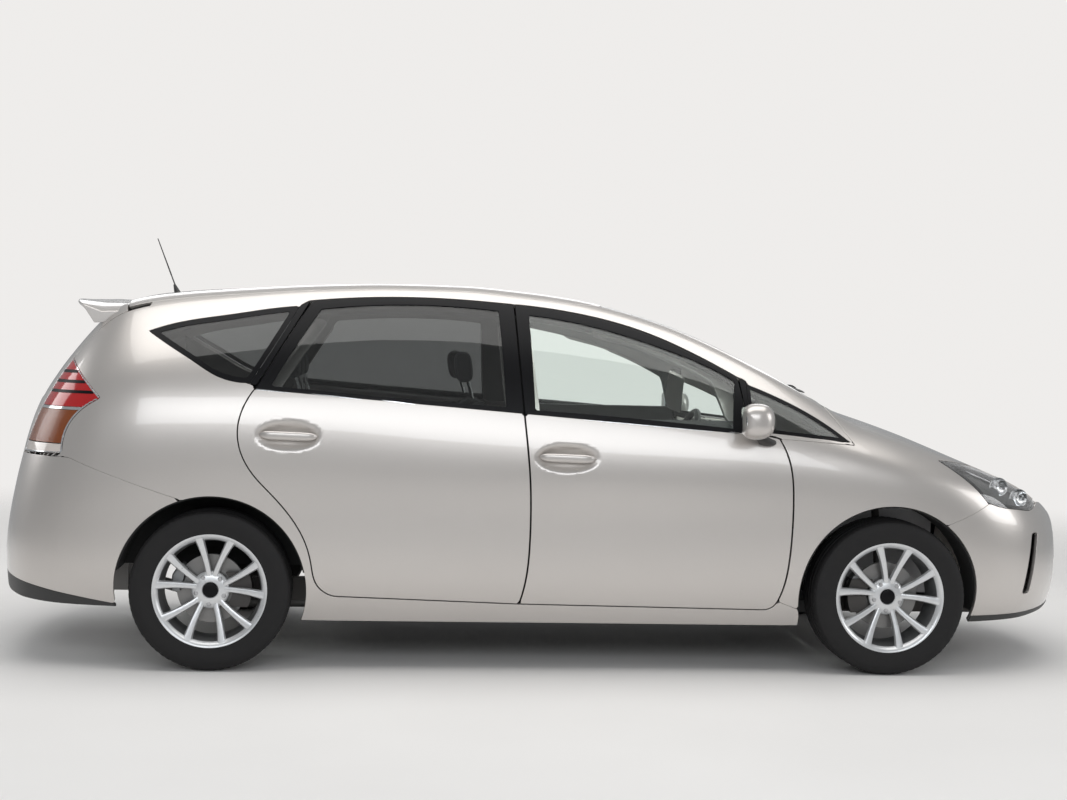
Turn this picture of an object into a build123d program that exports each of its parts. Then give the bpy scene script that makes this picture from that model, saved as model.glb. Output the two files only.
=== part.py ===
"""Hybrid hatchback, a five-door family car of the tall estate kind, in millimetres.

+X is forward, +Y is left, +Z is up. The origin is on the ground, under the middle of the car.
The body is one lofted outer volume. Every panel is a wall of that volume, cut out along its seams.
"""

from build123d import *
from functools import cache
from math import cos, hypot, radians, sin
import os

# Overall sizes
LENGTH = 4644.0
FRONT_AXLE_X = 1372.0
REAR_AXLE_X = -1408.0
TRACK = 1530.0

# Walls, measured in from the outer surface
DOOR_WALL = 66.0
POCKET_WALL = 88.0
PILLAR_WALL = 128.0
ROOF_WALL = 42.0
BONNET_WALL = 26.0
FENDER_WALL = 30.0
BUMPER_WALL = 34.0
LAMP_WALL = 60.0
LAMP_INNER_Y = 400.0
TAILGATE_WALL = 56.0
GLASS_SET = 3.0
GLASS_THICKNESS = 5.0
FLOOR_THICKNESS = 50.0

DOOR_INNER_Y = 545.0

# Clearances
SHUT_GAP = 7.0
SEAM = 0.3
PIN_GAP = 0.05

# Wheels
TYRE_RADIUS = 323.4
TYRE_WIDTH = 215.0
RIM_RADIUS = 232.0
BEAD_RADIUS = 218.0
RIM_WIDTH = 196.0
BARREL_WALL = 8.0
SPOKES = 10
HUB_RADIUS = 74.0
NUTS = 5
NUT_CIRCLE = 57.15
DISC_RADIUS = 138.0
DISC_THICKNESS = 22.0
SPINDLE_RADIUS = 20.0
WELL_RADIUS = 382.0

# Steering
KINGPIN_TILT = 14.0
KINGPIN_INSET = 68.0
STRUT_RADIUS = 16.0
SPRING_RADIUS = 50.0
STRUT_TOP = 850.0
STEERING_WHEEL_RADIUS = 185.0

# Door hinges
HINGE_Y = 870.0
FRONT_HINGE_X = 897.0
REAR_HINGE_X = -182.0
HINGE_HEIGHTS = (560.0, 830.0)
HINGE_PIN_RADIUS = 5.0
HINGE_PIN_LENGTH = 44.0
HINGE_ARM = 12.0

# Underbody
SILL_INNER_Y = 680.0
FLOOR_REAR_X = -1780.0
FIREWALL_X = 1150.0
SHEET = 30.0
LOAD_FLOOR_Z = 560.0
KICK_UP_X = -990.0
SUBFRAME_TOP = 262.0
INNER_WING_Y = 430.0
LINER_WALL = 6.0

# Lids
BONNET_HINGE = (1098.0, 1096.0)
BONNET_PIN_RADIUS = 5.0
BONNET_PIN_Y = (590.0, 684.0)
BONNET_LUG_Y = 606.0
BONNET_LUG = 12.0
TAILGATE_HINGE = (-1796.0, 1500.0)
TAILGATE_PIN_RADIUS = 3.0
TAILGATE_EAR_RADIUS = 5.5
TAILGATE_HINGE_Y = 70.0
TAILGATE_PIN_HALF = 26.0
TAILGATE_ARM_HALF = 8.0

# Jacking pads under the sills
JACK_X = (720.0, -720.0)
JACK_Y = 762.0
JACK_PAD = (60.0, 36.0)
JACK_Z = 186.0

HALF = LENGTH / 2
WHEEL_Y = TRACK / 2
FAR = 3000.0

# The long lines of one side of the body, from tail to nose: (x, y, z), and (x, z) for the top.
SILL_LINE = [
    (-2322, 150, 345), (-2295, 380, 300), (-2240, 560, 275), (-2150, 680, 262), (-1990, 770, 255),
    (-1780, 800, 250), (-1400, 800, 225), (-1000, 795, 200), (0, 795, 198), (980, 795, 196),
    (1372, 800, 205), (1750, 770, 215), (1950, 700, 218), (2100, 560, 222), (2230, 370, 230),
    (2300, 210, 250), (2322, 110, 290),
]
WAIST_LINE = [
    (-2322, 200, 430), (-2310, 320, 450), (-2290, 440, 470), (-2255, 560, 500), (-2200, 670, 540),
    (-2120, 755, 570), (-2000, 820, 600), (-1850, 855, 620), (-1650, 876, 640), (-1408, 885, 660),
    (-1000, 882, 650), (0, 880, 640), (1000, 883, 640), (1372, 887, 640), (1600, 874, 620),
    (1750, 850, 590), (1850, 822, 570), (1950, 776, 550), (2025, 722, 530), (2100, 648, 510),
    (2170, 556, 490), (2230, 456, 470), (2275, 356, 440), (2305, 256, 420), (2322, 150, 390),
]
BELT_LINE = [
    (-2322, 130, 525), (-2310, 240, 560), (-2290, 330, 610), (-2260, 430, 690), (-2220, 520, 800),
    (-2170, 600, 900), (-2100, 675, 990), (-2000, 745, 1075), (-1850, 800, 1140),
    (-1650, 832, 1165), (-1400, 846, 1165), (-926, 850, 1132), (-500, 852, 1092),
    (-100, 854, 1064), (300, 856, 1036), (700, 857, 1002), (1100, 850, 958), (1372, 836, 912),
    (1560, 812, 870), (1700, 784, 832), (1850, 732, 788), (1950, 682, 756), (2025, 628, 728),
    (2100, 556, 700), (2170, 470, 672), (2230, 380, 640), (2275, 290, 604), (2305, 200, 558),
    (2322, 115, 470),
]
CANT_LINE = [
    (-2322, 90, 545), (-2310, 165, 585), (-2290, 225, 640), (-2260, 280, 730), (-2222, 330, 870),
    (-2205, 360, 950), (-2170, 400, 1045), (-2100, 445, 1155), (-2049, 475, 1220),
    (-1960, 505, 1325), (-1879, 525, 1405), (-1800, 540, 1448), (-1650, 555, 1478),
    (-1359, 572, 1507), (-1026, 585, 1530), (-700, 590, 1541), (-400, 588, 1538),
    (-200, 583, 1524), (68, 585, 1496), (250, 598, 1460), (463, 618, 1402), (673, 645, 1320),
    (840, 668, 1243), (1000, 684, 1162), (1100, 690, 1108), (1250, 684, 1030), (1400, 664, 985),
    (1563, 640, 935), (1700, 616, 888), (1850, 572, 838), (1950, 528, 802), (2050, 468, 758),
    (2130, 396, 718), (2200, 316, 674), (2250, 248, 636), (2290, 182, 590), (2312, 130, 540),
    (2322, 85, 485),
]
CREST_LINE = [
    (-2322, 550), (-2310, 592), (-2290, 650), (-2260, 745), (-2235, 840), (-2222, 905),
    (-2205, 1000), (-2170, 1105), (-2100, 1222), (-2000, 1342), (-1900, 1440), (-1850, 1482),
    (-1800, 1505), (-1650, 1533), (-1330, 1558), (-980, 1572), (-667, 1575), (-351, 1570),
    (-123, 1554), (106, 1519), (338, 1462), (570, 1385), (805, 1288), (995, 1203), (1090, 1158),
    (1200, 1107), (1270, 1078), (1400, 1036), (1563, 980), (1658, 943), (1849, 864), (1945, 825),
    (2050, 780), (2130, 738), (2200, 690), (2250, 650), (2290, 602), (2312, 552), (2322, 495),
]
STATIONS = [
    -2322, -2312, -2292, -2262, -2222, -2170, -2100, -2010, -1900, -1800, -1650, -1400, -1050,
    -650, -250, 100, 400, 700, 950, 1150, 1350, 1550, 1750, 1900, 2025, 2120, 2190, 2245, 2285,
    2310, 2322,
]

# Side seams, as (x, z)
DOOR_SEAM = [
    (-165, 281), (-142, 383), (-130, 546), (-136, 798), (-151, 951), (-164, 1074), (-180, 1255),
    (-196, 1499),
]
FRONT_DOOR_NOSE = [(900, 300), (916, 345), (939, 486), (945, 730), (925, 887), (888, 973)]
REAR_DOOR_TAIL = [
    (-900, 306), (-945, 318), (-982, 352), (-1006, 438), (-1033, 530), (-1075, 606), (-1161, 710),
    (-1245, 801), (-1295, 897), (-1304, 980), (-1289, 1048), (-1233, 1145),
]
ROOF_SEAM = [
    (-1030, 1494), (-765, 1514), (-504, 1516), (-241, 1502), (68, 1468), (353, 1396), (545, 1315),
    (730, 1218),
]


def along(line, x, column):
    """The value of one column of a long line at x, on a smooth curve that doesn't overshoot."""
    xs = [point[0] for point in line]
    ys = [point[column] for point in line]
    x = min(max(x, xs[0]), xs[-1])
    i = max(0, min(len(xs) - 2, sum(1 for value in xs if value <= x) - 1))
    step = [xs[j + 1] - xs[j] for j in range(len(xs) - 1)]
    rise = [(ys[j + 1] - ys[j]) / step[j] for j in range(len(xs) - 1)]

    def slope(j):
        if j in (0, len(xs) - 1):
            return rise[min(j, len(rise) - 1)]
        if rise[j - 1] * rise[j] <= 0:
            return 0.0
        before = 2 * step[j] + step[j - 1]
        after = step[j] + 2 * step[j - 1]
        return (before + after) / (before / rise[j - 1] + after / rise[j])

    t = (x - xs[i]) / step[i]
    start, end = slope(i) * step[i], slope(i + 1) * step[i]
    return (
        ys[i] * (2 * t**3 - 3 * t * t + 1)
        + start * (t**3 - 2 * t * t + t)
        + ys[i + 1] * (3 * t * t - 2 * t**3)
        + end * (t**3 - t * t)
    )


def half_section(x, inset=0.0):
    """Points of the body's left half at x, from the sill up to the top, moved in by inset."""
    sill_y, sill_z = (along(SILL_LINE, x, c) for c in (1, 2))
    waist_y, waist_z = (along(WAIST_LINE, x, c) for c in (1, 2))
    belt_y, belt_z = (along(BELT_LINE, x, c) for c in (1, 2))
    cant_y, cant_z = (along(CANT_LINE, x, c) for c in (1, 2))
    top = along(CREST_LINE, x, 1)
    inset = min(inset, 0.22 * (top - sill_z))
    sill_y, waist_y, belt_y = (max(y - inset, 0.35 * y) for y in (sill_y, waist_y, belt_y))
    cant_y = max(cant_y - 0.75 * inset, 0.35 * cant_y)
    sill_z += inset
    top -= 0.75 * inset
    cant_z -= 0.7 * inset
    belt_z -= 0.15 * inset
    flank = (sill_y + 0.78 * (waist_y - sill_y), sill_z + 0.42 * (waist_z - sill_z))
    glass = (
        (belt_y + cant_y) / 2 + 0.08 * (cant_z - belt_z),
        (belt_z + cant_z) / 2 + 0.08 * (belt_y - cant_y),
    )
    crown = (0.6 * cant_y, cant_z + 0.64 * (top - cant_z))
    return [
        (sill_y, sill_z), flank, (waist_y, waist_z), (belt_y, belt_z), glass, (cant_y, cant_z),
        crown, (0, top),
    ]


def whole_section(x, inset=0.0):
    """Points of the whole section at x, from the right sill over the top to the left sill."""
    left = half_section(x, inset)
    return [(-y, z) for y, z in left[:-1]] + left[::-1]


@cache
def section_shares():
    """How far round each section its points lie: one list for all, which keeps the loft light."""
    totals = [0.0] * len(whole_section(0))
    for x in STATIONS:
        points = whole_section(x)
        reach = [0.0]
        for (y0, z0), (y1, z1) in zip(points, points[1:]):
            reach.append(reach[-1] + hypot(y1 - y0, z1 - z0))
        totals = [total + value / reach[-1] for total, value in zip(totals, reach)]
    return [total / len(STATIONS) for total in totals]


def section_edge(points):
    """The curve through a section's points."""
    return Edge.make_spline([Vector(*point) for point in points], parameters=section_shares())


@cache
def side_curve(x):
    """Points down the left side of the outer surface at x, close together."""
    edge = section_edge(whole_section(x))
    return [edge.position_at(0.5 + 0.5 * k / 120) for k in range(121)]


def skin_y(x, z):
    """Half width of the outer surface at x and height z."""
    curve = side_curve(x)
    for high, low in zip(curve, curve[1:]):
        if low.Y <= z <= high.Y:
            return low.X + (high.X - low.X) * (z - low.Y) / (high.Y - low.Y)
    return curve[-1].X


def skin_z(x, y):
    """Height of the outer surface at x and half width y, on the top of the body."""
    curve = side_curve(x)
    for inner, outer in zip(curve, curve[1:]):
        if inner.X <= y <= outer.X:
            return inner.Y + (outer.Y - inner.Y) * (y - inner.X) / (outer.X - inner.X)
    return curve[0].Y


@cache
def volume(inset=0.0):
    """The closed body volume, moved in by inset all round."""
    shorten = (HALF - 0.8 * inset) / HALF
    with BuildPart() as body:
        for x in STATIONS:
            points = whole_section(x, inset)
            with BuildSketch(Plane.YZ.offset(x * shorten)):
                with BuildLine():
                    add(section_edge(points))
                    Line(points[-1], points[0])
                make_face()
        loft()
    return body.part


@cache
def wall(thickness, outer=0.0):
    """The layer of the body between two insets."""
    with BuildPart() as layer:
        add(volume(outer))
        add(volume(thickness), mode=Mode.SUBTRACT)
    return layer.part


def moved_out(runs, amount):
    """The closed runs with every point moved square to the edge, out of the outline by amount."""
    loop = [point for run in runs for point in run[:-1]]
    area = sum(x0 * y1 - x1 * y0 for (x0, y0), (x1, y1) in zip(loop, loop[1:] + loop[:1]))
    amount = amount if area > 0 else -amount

    def normal(start, end):
        length = hypot(end[0] - start[0], end[1] - start[1])
        return ((end[1] - start[1]) / length, (start[0] - end[0]) / length)

    bigger = []
    for k, run in enumerate(runs):
        before, after = runs[k - 1], runs[(k + 1) % len(runs)]
        chain = [before[-2]] + list(run) + [after[1]]
        points = []
        for start, point, end in zip(chain, chain[1:], chain[2:]):
            a, b = normal(start, point), normal(point, end)
            reach = amount / max(1 + a[0] * b[0] + a[1] * b[1], 0.3)
            points.append((point[0] + reach * (a[0] + b[0]), point[1] + reach * (a[1] + b[1])))
        bigger.append(points)
    return bigger


def outline(runs, grow=0.0):
    """A closed face from runs of points that join end to end: two points a line, more a curve."""
    with BuildSketch() as face:
        with BuildLine():
            for run in moved_out(runs, grow) if grow else runs:
                if len(run) == 2:
                    Line(*run)
                else:
                    Spline(*run)
        make_face()
    return face.sketch


def from_side(runs, grow=0.0, right_only=False):
    """A cutter with this (x, z) outline, right across the car or on its right half."""
    with BuildPart() as cutter:
        with BuildSketch(Plane.XZ):
            add(outline(runs, grow))
        extrude(amount=FAR, both=not right_only)
    return cutter.part


def from_top(runs, grow=0.0):
    """A cutter with this (x, y) outline, all the way up."""
    with BuildPart() as cutter:
        with BuildSketch(Plane.XY):
            add(outline(runs, grow))
        extrude(amount=FAR)
    return cutter.part


def from_back(runs, x0, x1, grow=0.0):
    """A cutter with this (y, z) outline, from x0 to x1."""
    with BuildPart() as cutter:
        with BuildSketch(Plane.YZ.offset(x0)):
            add(outline(runs, grow))
        extrude(amount=x1 - x0)
    return cutter.part


def block(x0, x1, y0, y1, z0, z1):
    """A box between two corners."""
    with BuildPart() as box:
        with BuildSketch(Plane.XY.offset(z0)):
            with Locations(((x0 + x1) / 2, (y0 + y1) / 2)):
                Rectangle(x1 - x0, y1 - y0)
        extrude(amount=z1 - z0)
    return box.part


def across(x, z, radius, y0, y1):
    """A cylinder along Y from y0 to y1."""
    with BuildPart() as rod:
        with BuildSketch(Plane.XZ.offset(-y1)):
            with Locations((x, z)):
                Circle(radius)
        extrude(amount=y1 - y0)
    return rod.part


def upright(x, y, radius, z0, z1):
    """A cylinder along Z from z0 to z1."""
    with BuildPart() as rod:
        with BuildSketch(Plane.XY.offset(z0)):
            with Locations((x, y)):
                Circle(radius)
        extrude(amount=z1 - z0)
    return rod.part


def bar(start, end, radius):
    """A round bar between two points."""
    with BuildPart() as rod:
        with BuildLine() as path:
            Line(start, end)
        with BuildSketch(path.line ^ 0):
            Circle(radius)
        sweep(path=path.line)
    return rod.part


def both_sides(part):
    """The part and its mirror image on the other side of the car."""
    with BuildPart() as pair:
        add(part)
        mirror(about=Plane.XZ)
    return pair.part


def other_side(part):
    """Only the mirror image."""
    with BuildPart() as left:
        add(mirror(part, about=Plane.XZ, mode=Mode.PRIVATE))
    return left.part


def finish(name, part):
    """Label the piece and write it."""
    part.label = name
    export_step(part, f"parts/{name}.step")


def shifted(points, dx):
    """Seam points moved along X."""
    return [(x + dx, z) for x, z in points]


# Outlines from the side, in the XZ plane

def front_door_outline():
    rear = shifted(DOOR_SEAM, SHUT_GAP / 2)
    top = [(x, z) for x, z in ROOF_SEAM if x > rear[-1][0] + 50]
    roof = [rear[-1]] + top
    return [
        rear, roof,
        [roof[-1], (744, 1123), (752, 1000)],
        [(752, 1000), FRONT_DOOR_NOSE[-1]],
        FRONT_DOOR_NOSE[::-1],
        [FRONT_DOOR_NOSE[0], (880, 276), (840, 266)],
        [(840, 266), rear[0]],
    ]


def rear_door_outline():
    front = shifted(DOOR_SEAM, -SHUT_GAP / 2)
    top = [(x, z) for x, z in ROOF_SEAM if x < front[-1][0] - 20]
    return [
        front, [front[-1]] + top[::-1],
        [top[0], (-1120, 1345), REAR_DOOR_TAIL[-1]],
        REAR_DOOR_TAIL[::-1],
        [REAR_DOOR_TAIL[0], front[0]],
    ]


def front_aperture():
    return [
        [(-85, 345), (-62, 560), (-80, 951), (-125, 1437)],
        [(-125, 1437), (68, 1402), (353, 1330), (545, 1250), (640, 1200)],
        [(640, 1200), (690, 1040)],
        [(690, 1040), (850, 900), (868, 730), (862, 486), (835, 360)],
        [(835, 360), (-85, 345)],
    ]


def rear_aperture():
    return [
        [(-225, 345), (-205, 560), (-222, 951), (-262, 1437)],
        [(-262, 1437), (-504, 1452), (-765, 1448), (-960, 1432)],
        [(-960, 1432), (-1050, 1290), (-1150, 1130)],
        [(-1150, 1130), (-1215, 1000), (-1190, 860), (-1100, 740), (-1010, 640), (-955, 500),
         (-930, 380)],
        [(-930, 380), (-225, 345)],
    ]


def front_door_window():
    return [
        [(-118, 1072), (290, 1046), (696, 1012)],
        [(696, 1012), (706, 1123), (718, 1203)],
        [(718, 1203), (639, 1247), (445, 1325), (161, 1410), (-137, 1459)],
        [(-137, 1459), (-118, 1072)],
    ]


def rear_door_window():
    return [
        [(-236, 1082), (-700, 1112), (-1180, 1148)],
        [(-1180, 1148), (-1076, 1329), (-992, 1462)],
        [(-992, 1462), (-765, 1484), (-504, 1488), (-262, 1472)],
        [(-262, 1472), (-236, 1082)],
    ]


def rear_quarter_window():
    return [
        [(-1262, 1158), (-1334, 1162), (-1399, 1182), (-1498, 1240), (-1596, 1300), (-1685, 1356)],
        [(-1685, 1356), (-1560, 1396), (-1359, 1432), (-1197, 1460), (-1080, 1474)],
        [(-1080, 1474), (-1160, 1330), (-1262, 1158)],
    ]


def front_quarter_window():
    return [
        [(768, 1004), (980, 984), (1196, 962)],
        [(1196, 962), (1070, 1054), (933, 1126), (766, 1194)],
        [(766, 1194), (768, 1004)],
    ]


def headlamp_outline():
    return [
        [(1590, 892), (1700, 876), (1840, 838), (1950, 790), (2050, 738), (2096, 706)],
        [(2096, 706), (2060, 682), (1971, 684), (1850, 702), (1790, 722)],
        [(1790, 722), (1736, 782), (1648, 852), (1590, 892)],
    ]


def tail_lamp_outline():
    return [
        [(-2300, 850), (-2003, 862)],
        [(-2003, 862), (-1997, 929), (-1853, 1084)],
        [(-1853, 1084), (-1998, 1234)],
        [(-1998, 1234), (-2300, 1250)],
        [(-2300, 1250), (-2300, 850)],
    ]


def front_bumper_outline():
    return [
        [(1600, 150), (1604, 628)],
        [(1604, 628), (1748, 688), (1800, 716)],
        [(1800, 716), (1971, 684), (2060, 682), (2110, 700)],
        [(2110, 700), (2180, 690)],
        [(2180, 690), (2400, 690)],
        [(2400, 690), (2400, 150)],
        [(2400, 150), (1600, 150)],
    ]


def rear_bumper_outline():
    return [
        [(-1530, 200), (-1530, 690)],
        [(-1530, 690), (-1751, 762), (-1977, 846)],
        [(-1977, 846), (-2400, 850)],
        [(-2400, 850), (-2400, 200)],
        [(-2400, 200), (-1530, 200)],
    ]


def fender_outline():
    nose = shifted(FRONT_DOOR_NOSE, SHUT_GAP)
    return [
        nose,
        [nose[-1], (1215, 951)],
        [(1215, 951), (1100, 1130)],
        [(1100, 1130), (1700, 1130)],
        [(1700, 1130), (2200, 700)],
        [(2200, 700), (2200, 250)],
        [(2200, 250), (1300, 150)],
        [(1300, 150), nose[0]],
    ]


def cabin_side_outline():
    """Everything of the side that is neither door, fender nor bumper."""
    return [
        [(1215, 951), (1098, 1128)],
        [(1098, 1128), (200, 1700)],
        [(200, 1700), (-2400, 1700)],
        [(-2400, 1700), (-2400, 150)],
        [(-2400, 150), (1000, 150)],
        [(1000, 150), (1010, 951)],
        [(1010, 951), (1215, 951)],
    ]


# Outlines from above, in the XY plane

BONNET_EDGE = [
    (1120, 664), (1250, 686), (1400, 684), (1563, 668), (1700, 644), (1850, 600), (1950, 556),
    (2050, 494), (2110, 440), (2220, 300),
]
BONNET_REAR = [(1120, 664), (1168, 540), (1232, 290), (1256, 0)]
SCREEN_EDGE = [(176, 536), (463, 574), (700, 607), (900, 631), (1058, 648)]
SCREEN_BASE = [(1058, 648), (1122, 520), (1182, 280), (1204, 0)]
SCREEN_HEAD = [(176, 536), (212, 280), (222, 0)]
ROOF_EDGE = [(-1790, 536), (-1359, 556), (-700, 572), (-200, 566), (68, 560), (176, 536)]


def with_right_half(*runs):
    """Runs of the left half, from the centreline round to it again, and of the right half."""
    return list(runs) + [[(x, -y) for x, y in run][::-1] for run in runs[::-1]]


def bonnet_outline():
    return with_right_half(BONNET_REAR[::-1], BONNET_EDGE, [BONNET_EDGE[-1], (2330, 300)],
                            [(2330, 300), (2330, 0)])


def screen_outline():
    return with_right_half(SCREEN_HEAD[::-1], SCREEN_EDGE, SCREEN_BASE)


def cowl_outline():
    return with_right_half(SCREEN_BASE[::-1], [SCREEN_BASE[0], BONNET_REAR[0]], BONNET_REAR)


def roof_outline():
    return with_right_half([(-1790, 0), (-1790, 536)], ROOF_EDGE, SCREEN_HEAD)


# Outlines from behind, in the YZ plane

TAILGATE_EDGE = [(566, 1600), (566, 1150)]
TAILGATE_LOWER = [(566, 1150), (580, 1000), (560, 860), (520, 760)]
REAR_WINDOW_EDGE = [(500, 1418), (500, 1130)]


def with_other_half(*runs):
    """The same for runs of (y, z)."""
    return list(runs) + [[(-y, z) for y, z in run][::-1] for run in runs[::-1]]


def tailgate_outline():
    return with_other_half([(0, 1600), TAILGATE_EDGE[0]], TAILGATE_EDGE, TAILGATE_LOWER,
                            [TAILGATE_LOWER[-1], (440, 716)], [(440, 716), (0, 712)])


def rear_window_outline():
    return with_other_half([(0, 1436), (340, 1432), REAR_WINDOW_EDGE[0]], REAR_WINDOW_EDGE,
                            [REAR_WINDOW_EDGE[1], (440, 1072), (0, 1058)])


# Wheels, made for the left side about their own centre: the axle along Y, the outer face at +Y

MOUNT_FACE = 50.0
RIM_HALF = RIM_WIDTH / 2
DISC_INNER = 8.0
HUB_INNER = -18.0
CAP_RADIUS = 31.0
SPOKE_WIDTH = 25.0
SPINDLE_LENGTH = 60.0


def make_tyre():
    half = TYRE_WIDTH / 2
    tread = TYRE_RADIUS
    with BuildPart() as tyre:
        with BuildSketch(Plane.XY):
            with BuildLine():
                Line((BEAD_RADIUS + SEAM, -88), (BEAD_RADIUS + SEAM, -74))
                Line((BEAD_RADIUS + SEAM, -74), (BEAD_RADIUS + 12, -74))
                Spline((BEAD_RADIUS + 12, -74), (266, -94), (300, -84), (tread - 13, -40))
                Line((tread - 13, -40), (tread - 13, 40))
                Spline((tread - 13, 40), (300, 84), (266, 94), (BEAD_RADIUS + 12, 74))
                Line((BEAD_RADIUS + 12, 74), (BEAD_RADIUS + SEAM, 74))
                Line((BEAD_RADIUS + SEAM, 74), (BEAD_RADIUS + SEAM, 88))
                Line((BEAD_RADIUS + SEAM, 88), (RIM_RADIUS + SEAM, 90))
                Spline((RIM_RADIUS + SEAM, 90), (250, 102), (272, half), (298, 103), (tread - 8, 88))
                Spline((tread - 8, 88), (tread - 2, 60), (tread, 0), (tread - 2, -60), (tread - 8, -88))
                Spline((tread - 8, -88), (298, -103), (272, -half), (250, -102), (RIM_RADIUS + SEAM, -90))
                Line((RIM_RADIUS + SEAM, -90), (BEAD_RADIUS + SEAM, -88))
            make_face()
        revolve(axis=Axis.Y)
    return tyre.part


def make_wheel():
    barrel = BEAD_RADIUS - BARREL_WALL
    with BuildPart() as wheel:
        with BuildSketch(Plane.XY):
            with BuildLine():
                Polyline(
                    (BEAD_RADIUS, -90), (RIM_RADIUS, -92), (RIM_RADIUS, -RIM_HALF),
                    (RIM_RADIUS - 10, -RIM_HALF), (barrel, -84), (barrel - 8, 0), (barrel - 2, 78),
                    (barrel + 8, RIM_HALF - 2), (RIM_RADIUS - 3, RIM_HALF), (RIM_RADIUS, 94),
                    (RIM_RADIUS, 92), (BEAD_RADIUS, 90), (BEAD_RADIUS, 74), (barrel + 4, 40),
                    (barrel + 2, -40), (BEAD_RADIUS, -74), (BEAD_RADIUS, -90),
                )
            make_face()
        revolve(axis=Axis.Y)
        with BuildSketch(Plane.XY):
            with BuildLine():
                Polyline(
                    (0, MOUNT_FACE + 24), (CAP_RADIUS, MOUNT_FACE + 22), (HUB_RADIUS, MOUNT_FACE + 20),
                    (HUB_RADIUS + 4, MOUNT_FACE), (HUB_RADIUS + 4, DISC_INNER + DISC_THICKNESS),
                    (DISC_RADIUS, DISC_INNER + DISC_THICKNESS), (DISC_RADIUS, DISC_INNER),
                    (HUB_RADIUS - 4, DISC_INNER), (HUB_RADIUS - 4, DISC_INNER + DISC_THICKNESS),
                    (42, DISC_INNER + DISC_THICKNESS), (36, HUB_INNER), (0, HUB_INNER),
                    (0, MOUNT_FACE + 24),
                )
            make_face()
        revolve(axis=Axis.Y)
        spoke_foot = HUB_RADIUS - 10
        for turn in range(SPOKES):
            spoke_plane = Plane.XY.rotated((0, 360 / SPOKES * (turn + 0.5), 0))
            with BuildSketch(spoke_plane):
                with BuildLine():
                    Polyline(
                        (spoke_foot, MOUNT_FACE), (barrel + 2, RIM_HALF - 26), (barrel + 6, RIM_HALF - 4),
                        (150, MOUNT_FACE + 36), (spoke_foot, MOUNT_FACE + 19),
                        (spoke_foot, MOUNT_FACE),
                    )
                make_face()
            extrude(amount=SPOKE_WIDTH / 2, both=True)
        with BuildSketch(Plane.XZ.offset(-HUB_INNER)):
            Circle(SPINDLE_RADIUS + PIN_GAP)
        extrude(amount=-SPINDLE_LENGTH, mode=Mode.SUBTRACT)
    return wheel.part


def placed(part, x, y):
    """A wheel piece at its axle, turned outside in on the right-hand side."""
    if y < 0:
        part = mirror(part, about=Plane.XZ, mode=Mode.PRIVATE)
    return Pos(x, y, TYRE_RADIUS) * part


def arches(radius, grow=0.0):
    """Cutters for the four wheel wells."""
    with BuildPart() as wells:
        for x, inner in ((FRONT_AXLE_X, 455), (REAR_AXLE_X, 610)):
            add(across(x, TYRE_RADIUS, radius + grow, inner - grow, FAR))
            add(across(x, TYRE_RADIUS, radius + grow, -FAR, -inner + grow))
    return wells.part


def swing_reach(hinge_x, seam):
    """What a door may fill behind its hinge, so that its rear edge swings clear."""
    profile = []
    for x, z in seam:
        inboard = HINGE_Y - skin_y(x, z)
        profile.append((hypot(hinge_x - x, inboard) - 2, z))
    with BuildPart() as reach:
        with BuildSketch(Plane((hinge_x, -HINGE_Y, 0), x_dir=(1, 0, 0), z_dir=(0, -1, 0))):
            with BuildLine():
                Polyline(
                    (0, 100), (profile[0][0], 100), *profile, (profile[-1][0], 1700), (0, 1700), (0, 100)
                )
            make_face()
        revolve(axis=Axis((hinge_x, -HINGE_Y, 0), (0, 0, 1)))
    return reach.part


def hinge_arms(hinge_x):
    """Two fixed arms of the right-hand side, each with its pin, from the pillar to the hinge line."""
    with BuildPart() as arms:
        for z in HINGE_HEIGHTS:
            add(block(hinge_x - HINGE_PIN_RADIUS, hinge_x + HINGE_PIN_RADIUS, -HINGE_Y,
                      -HINGE_Y + POCKET_WALL + 8, z - HINGE_ARM / 2, z + HINGE_ARM / 2))
            add(upright(hinge_x, -HINGE_Y, HINGE_PIN_RADIUS, z - HINGE_PIN_LENGTH / 2,
                        z + HINGE_PIN_LENGTH / 2))
    return arms.part


def hinge_pockets(hinge_x):
    """What the arms and pins need cut out of a door."""
    room = HINGE_PIN_RADIUS + 1.5
    high = HINGE_ARM / 2 + 5
    with BuildPart() as pockets:
        for z in HINGE_HEIGHTS:
            add(block(hinge_x - room, hinge_x + 90, -HINGE_Y, -HINGE_Y + 120, z - high, z + high))
            add(upright(hinge_x, -HINGE_Y, room, z - high, z + high))
            add(block(hinge_x, hinge_x + 90, -HINGE_Y - room, -HINGE_Y, z - high, z + high))
            add(upright(hinge_x, -HINGE_Y, HINGE_PIN_RADIUS + PIN_GAP, z - HINGE_PIN_LENGTH / 2 - 1,
                        z + HINGE_PIN_LENGTH / 2 + 1))
    return pockets.part


def handle(x, z):
    """A pull bar on two feet, on the right-hand side."""
    skin = -skin_y(x, z)
    with BuildPart() as grip:
        with BuildSketch(Plane.XZ.offset(-(skin - 26))):
            with Locations((x, z)):
                SlotOverall(HANDLE_LENGTH, HANDLE_HEIGHT, rotation=-2)
        extrude(amount=12)
        for foot in (-1, 1):
            add(block(x + foot * 92 - 12, x + foot * 92 + 12, skin - 30, skin + 30, z - 10, z + 10))
    return grip.part


def outboard(thickness, y):
    """The right-hand side of a wall, out past y."""
    with BuildPart() as side:
        add(wall(thickness))
        add(block(-FAR, FAR, -FAR, -y, 0, FAR), mode=Mode.INTERSECT)
    return side.part


def largest(part):
    """The main solid, without crumbs that its cuts leave."""
    return Part() + part.solids().sort_by(SortBy.VOLUME)[-1]


def inside_of(y):
    """The middle of the car, out to y on both sides."""
    return block(-FAR, FAR, -y, y, 0, FAR)


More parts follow.
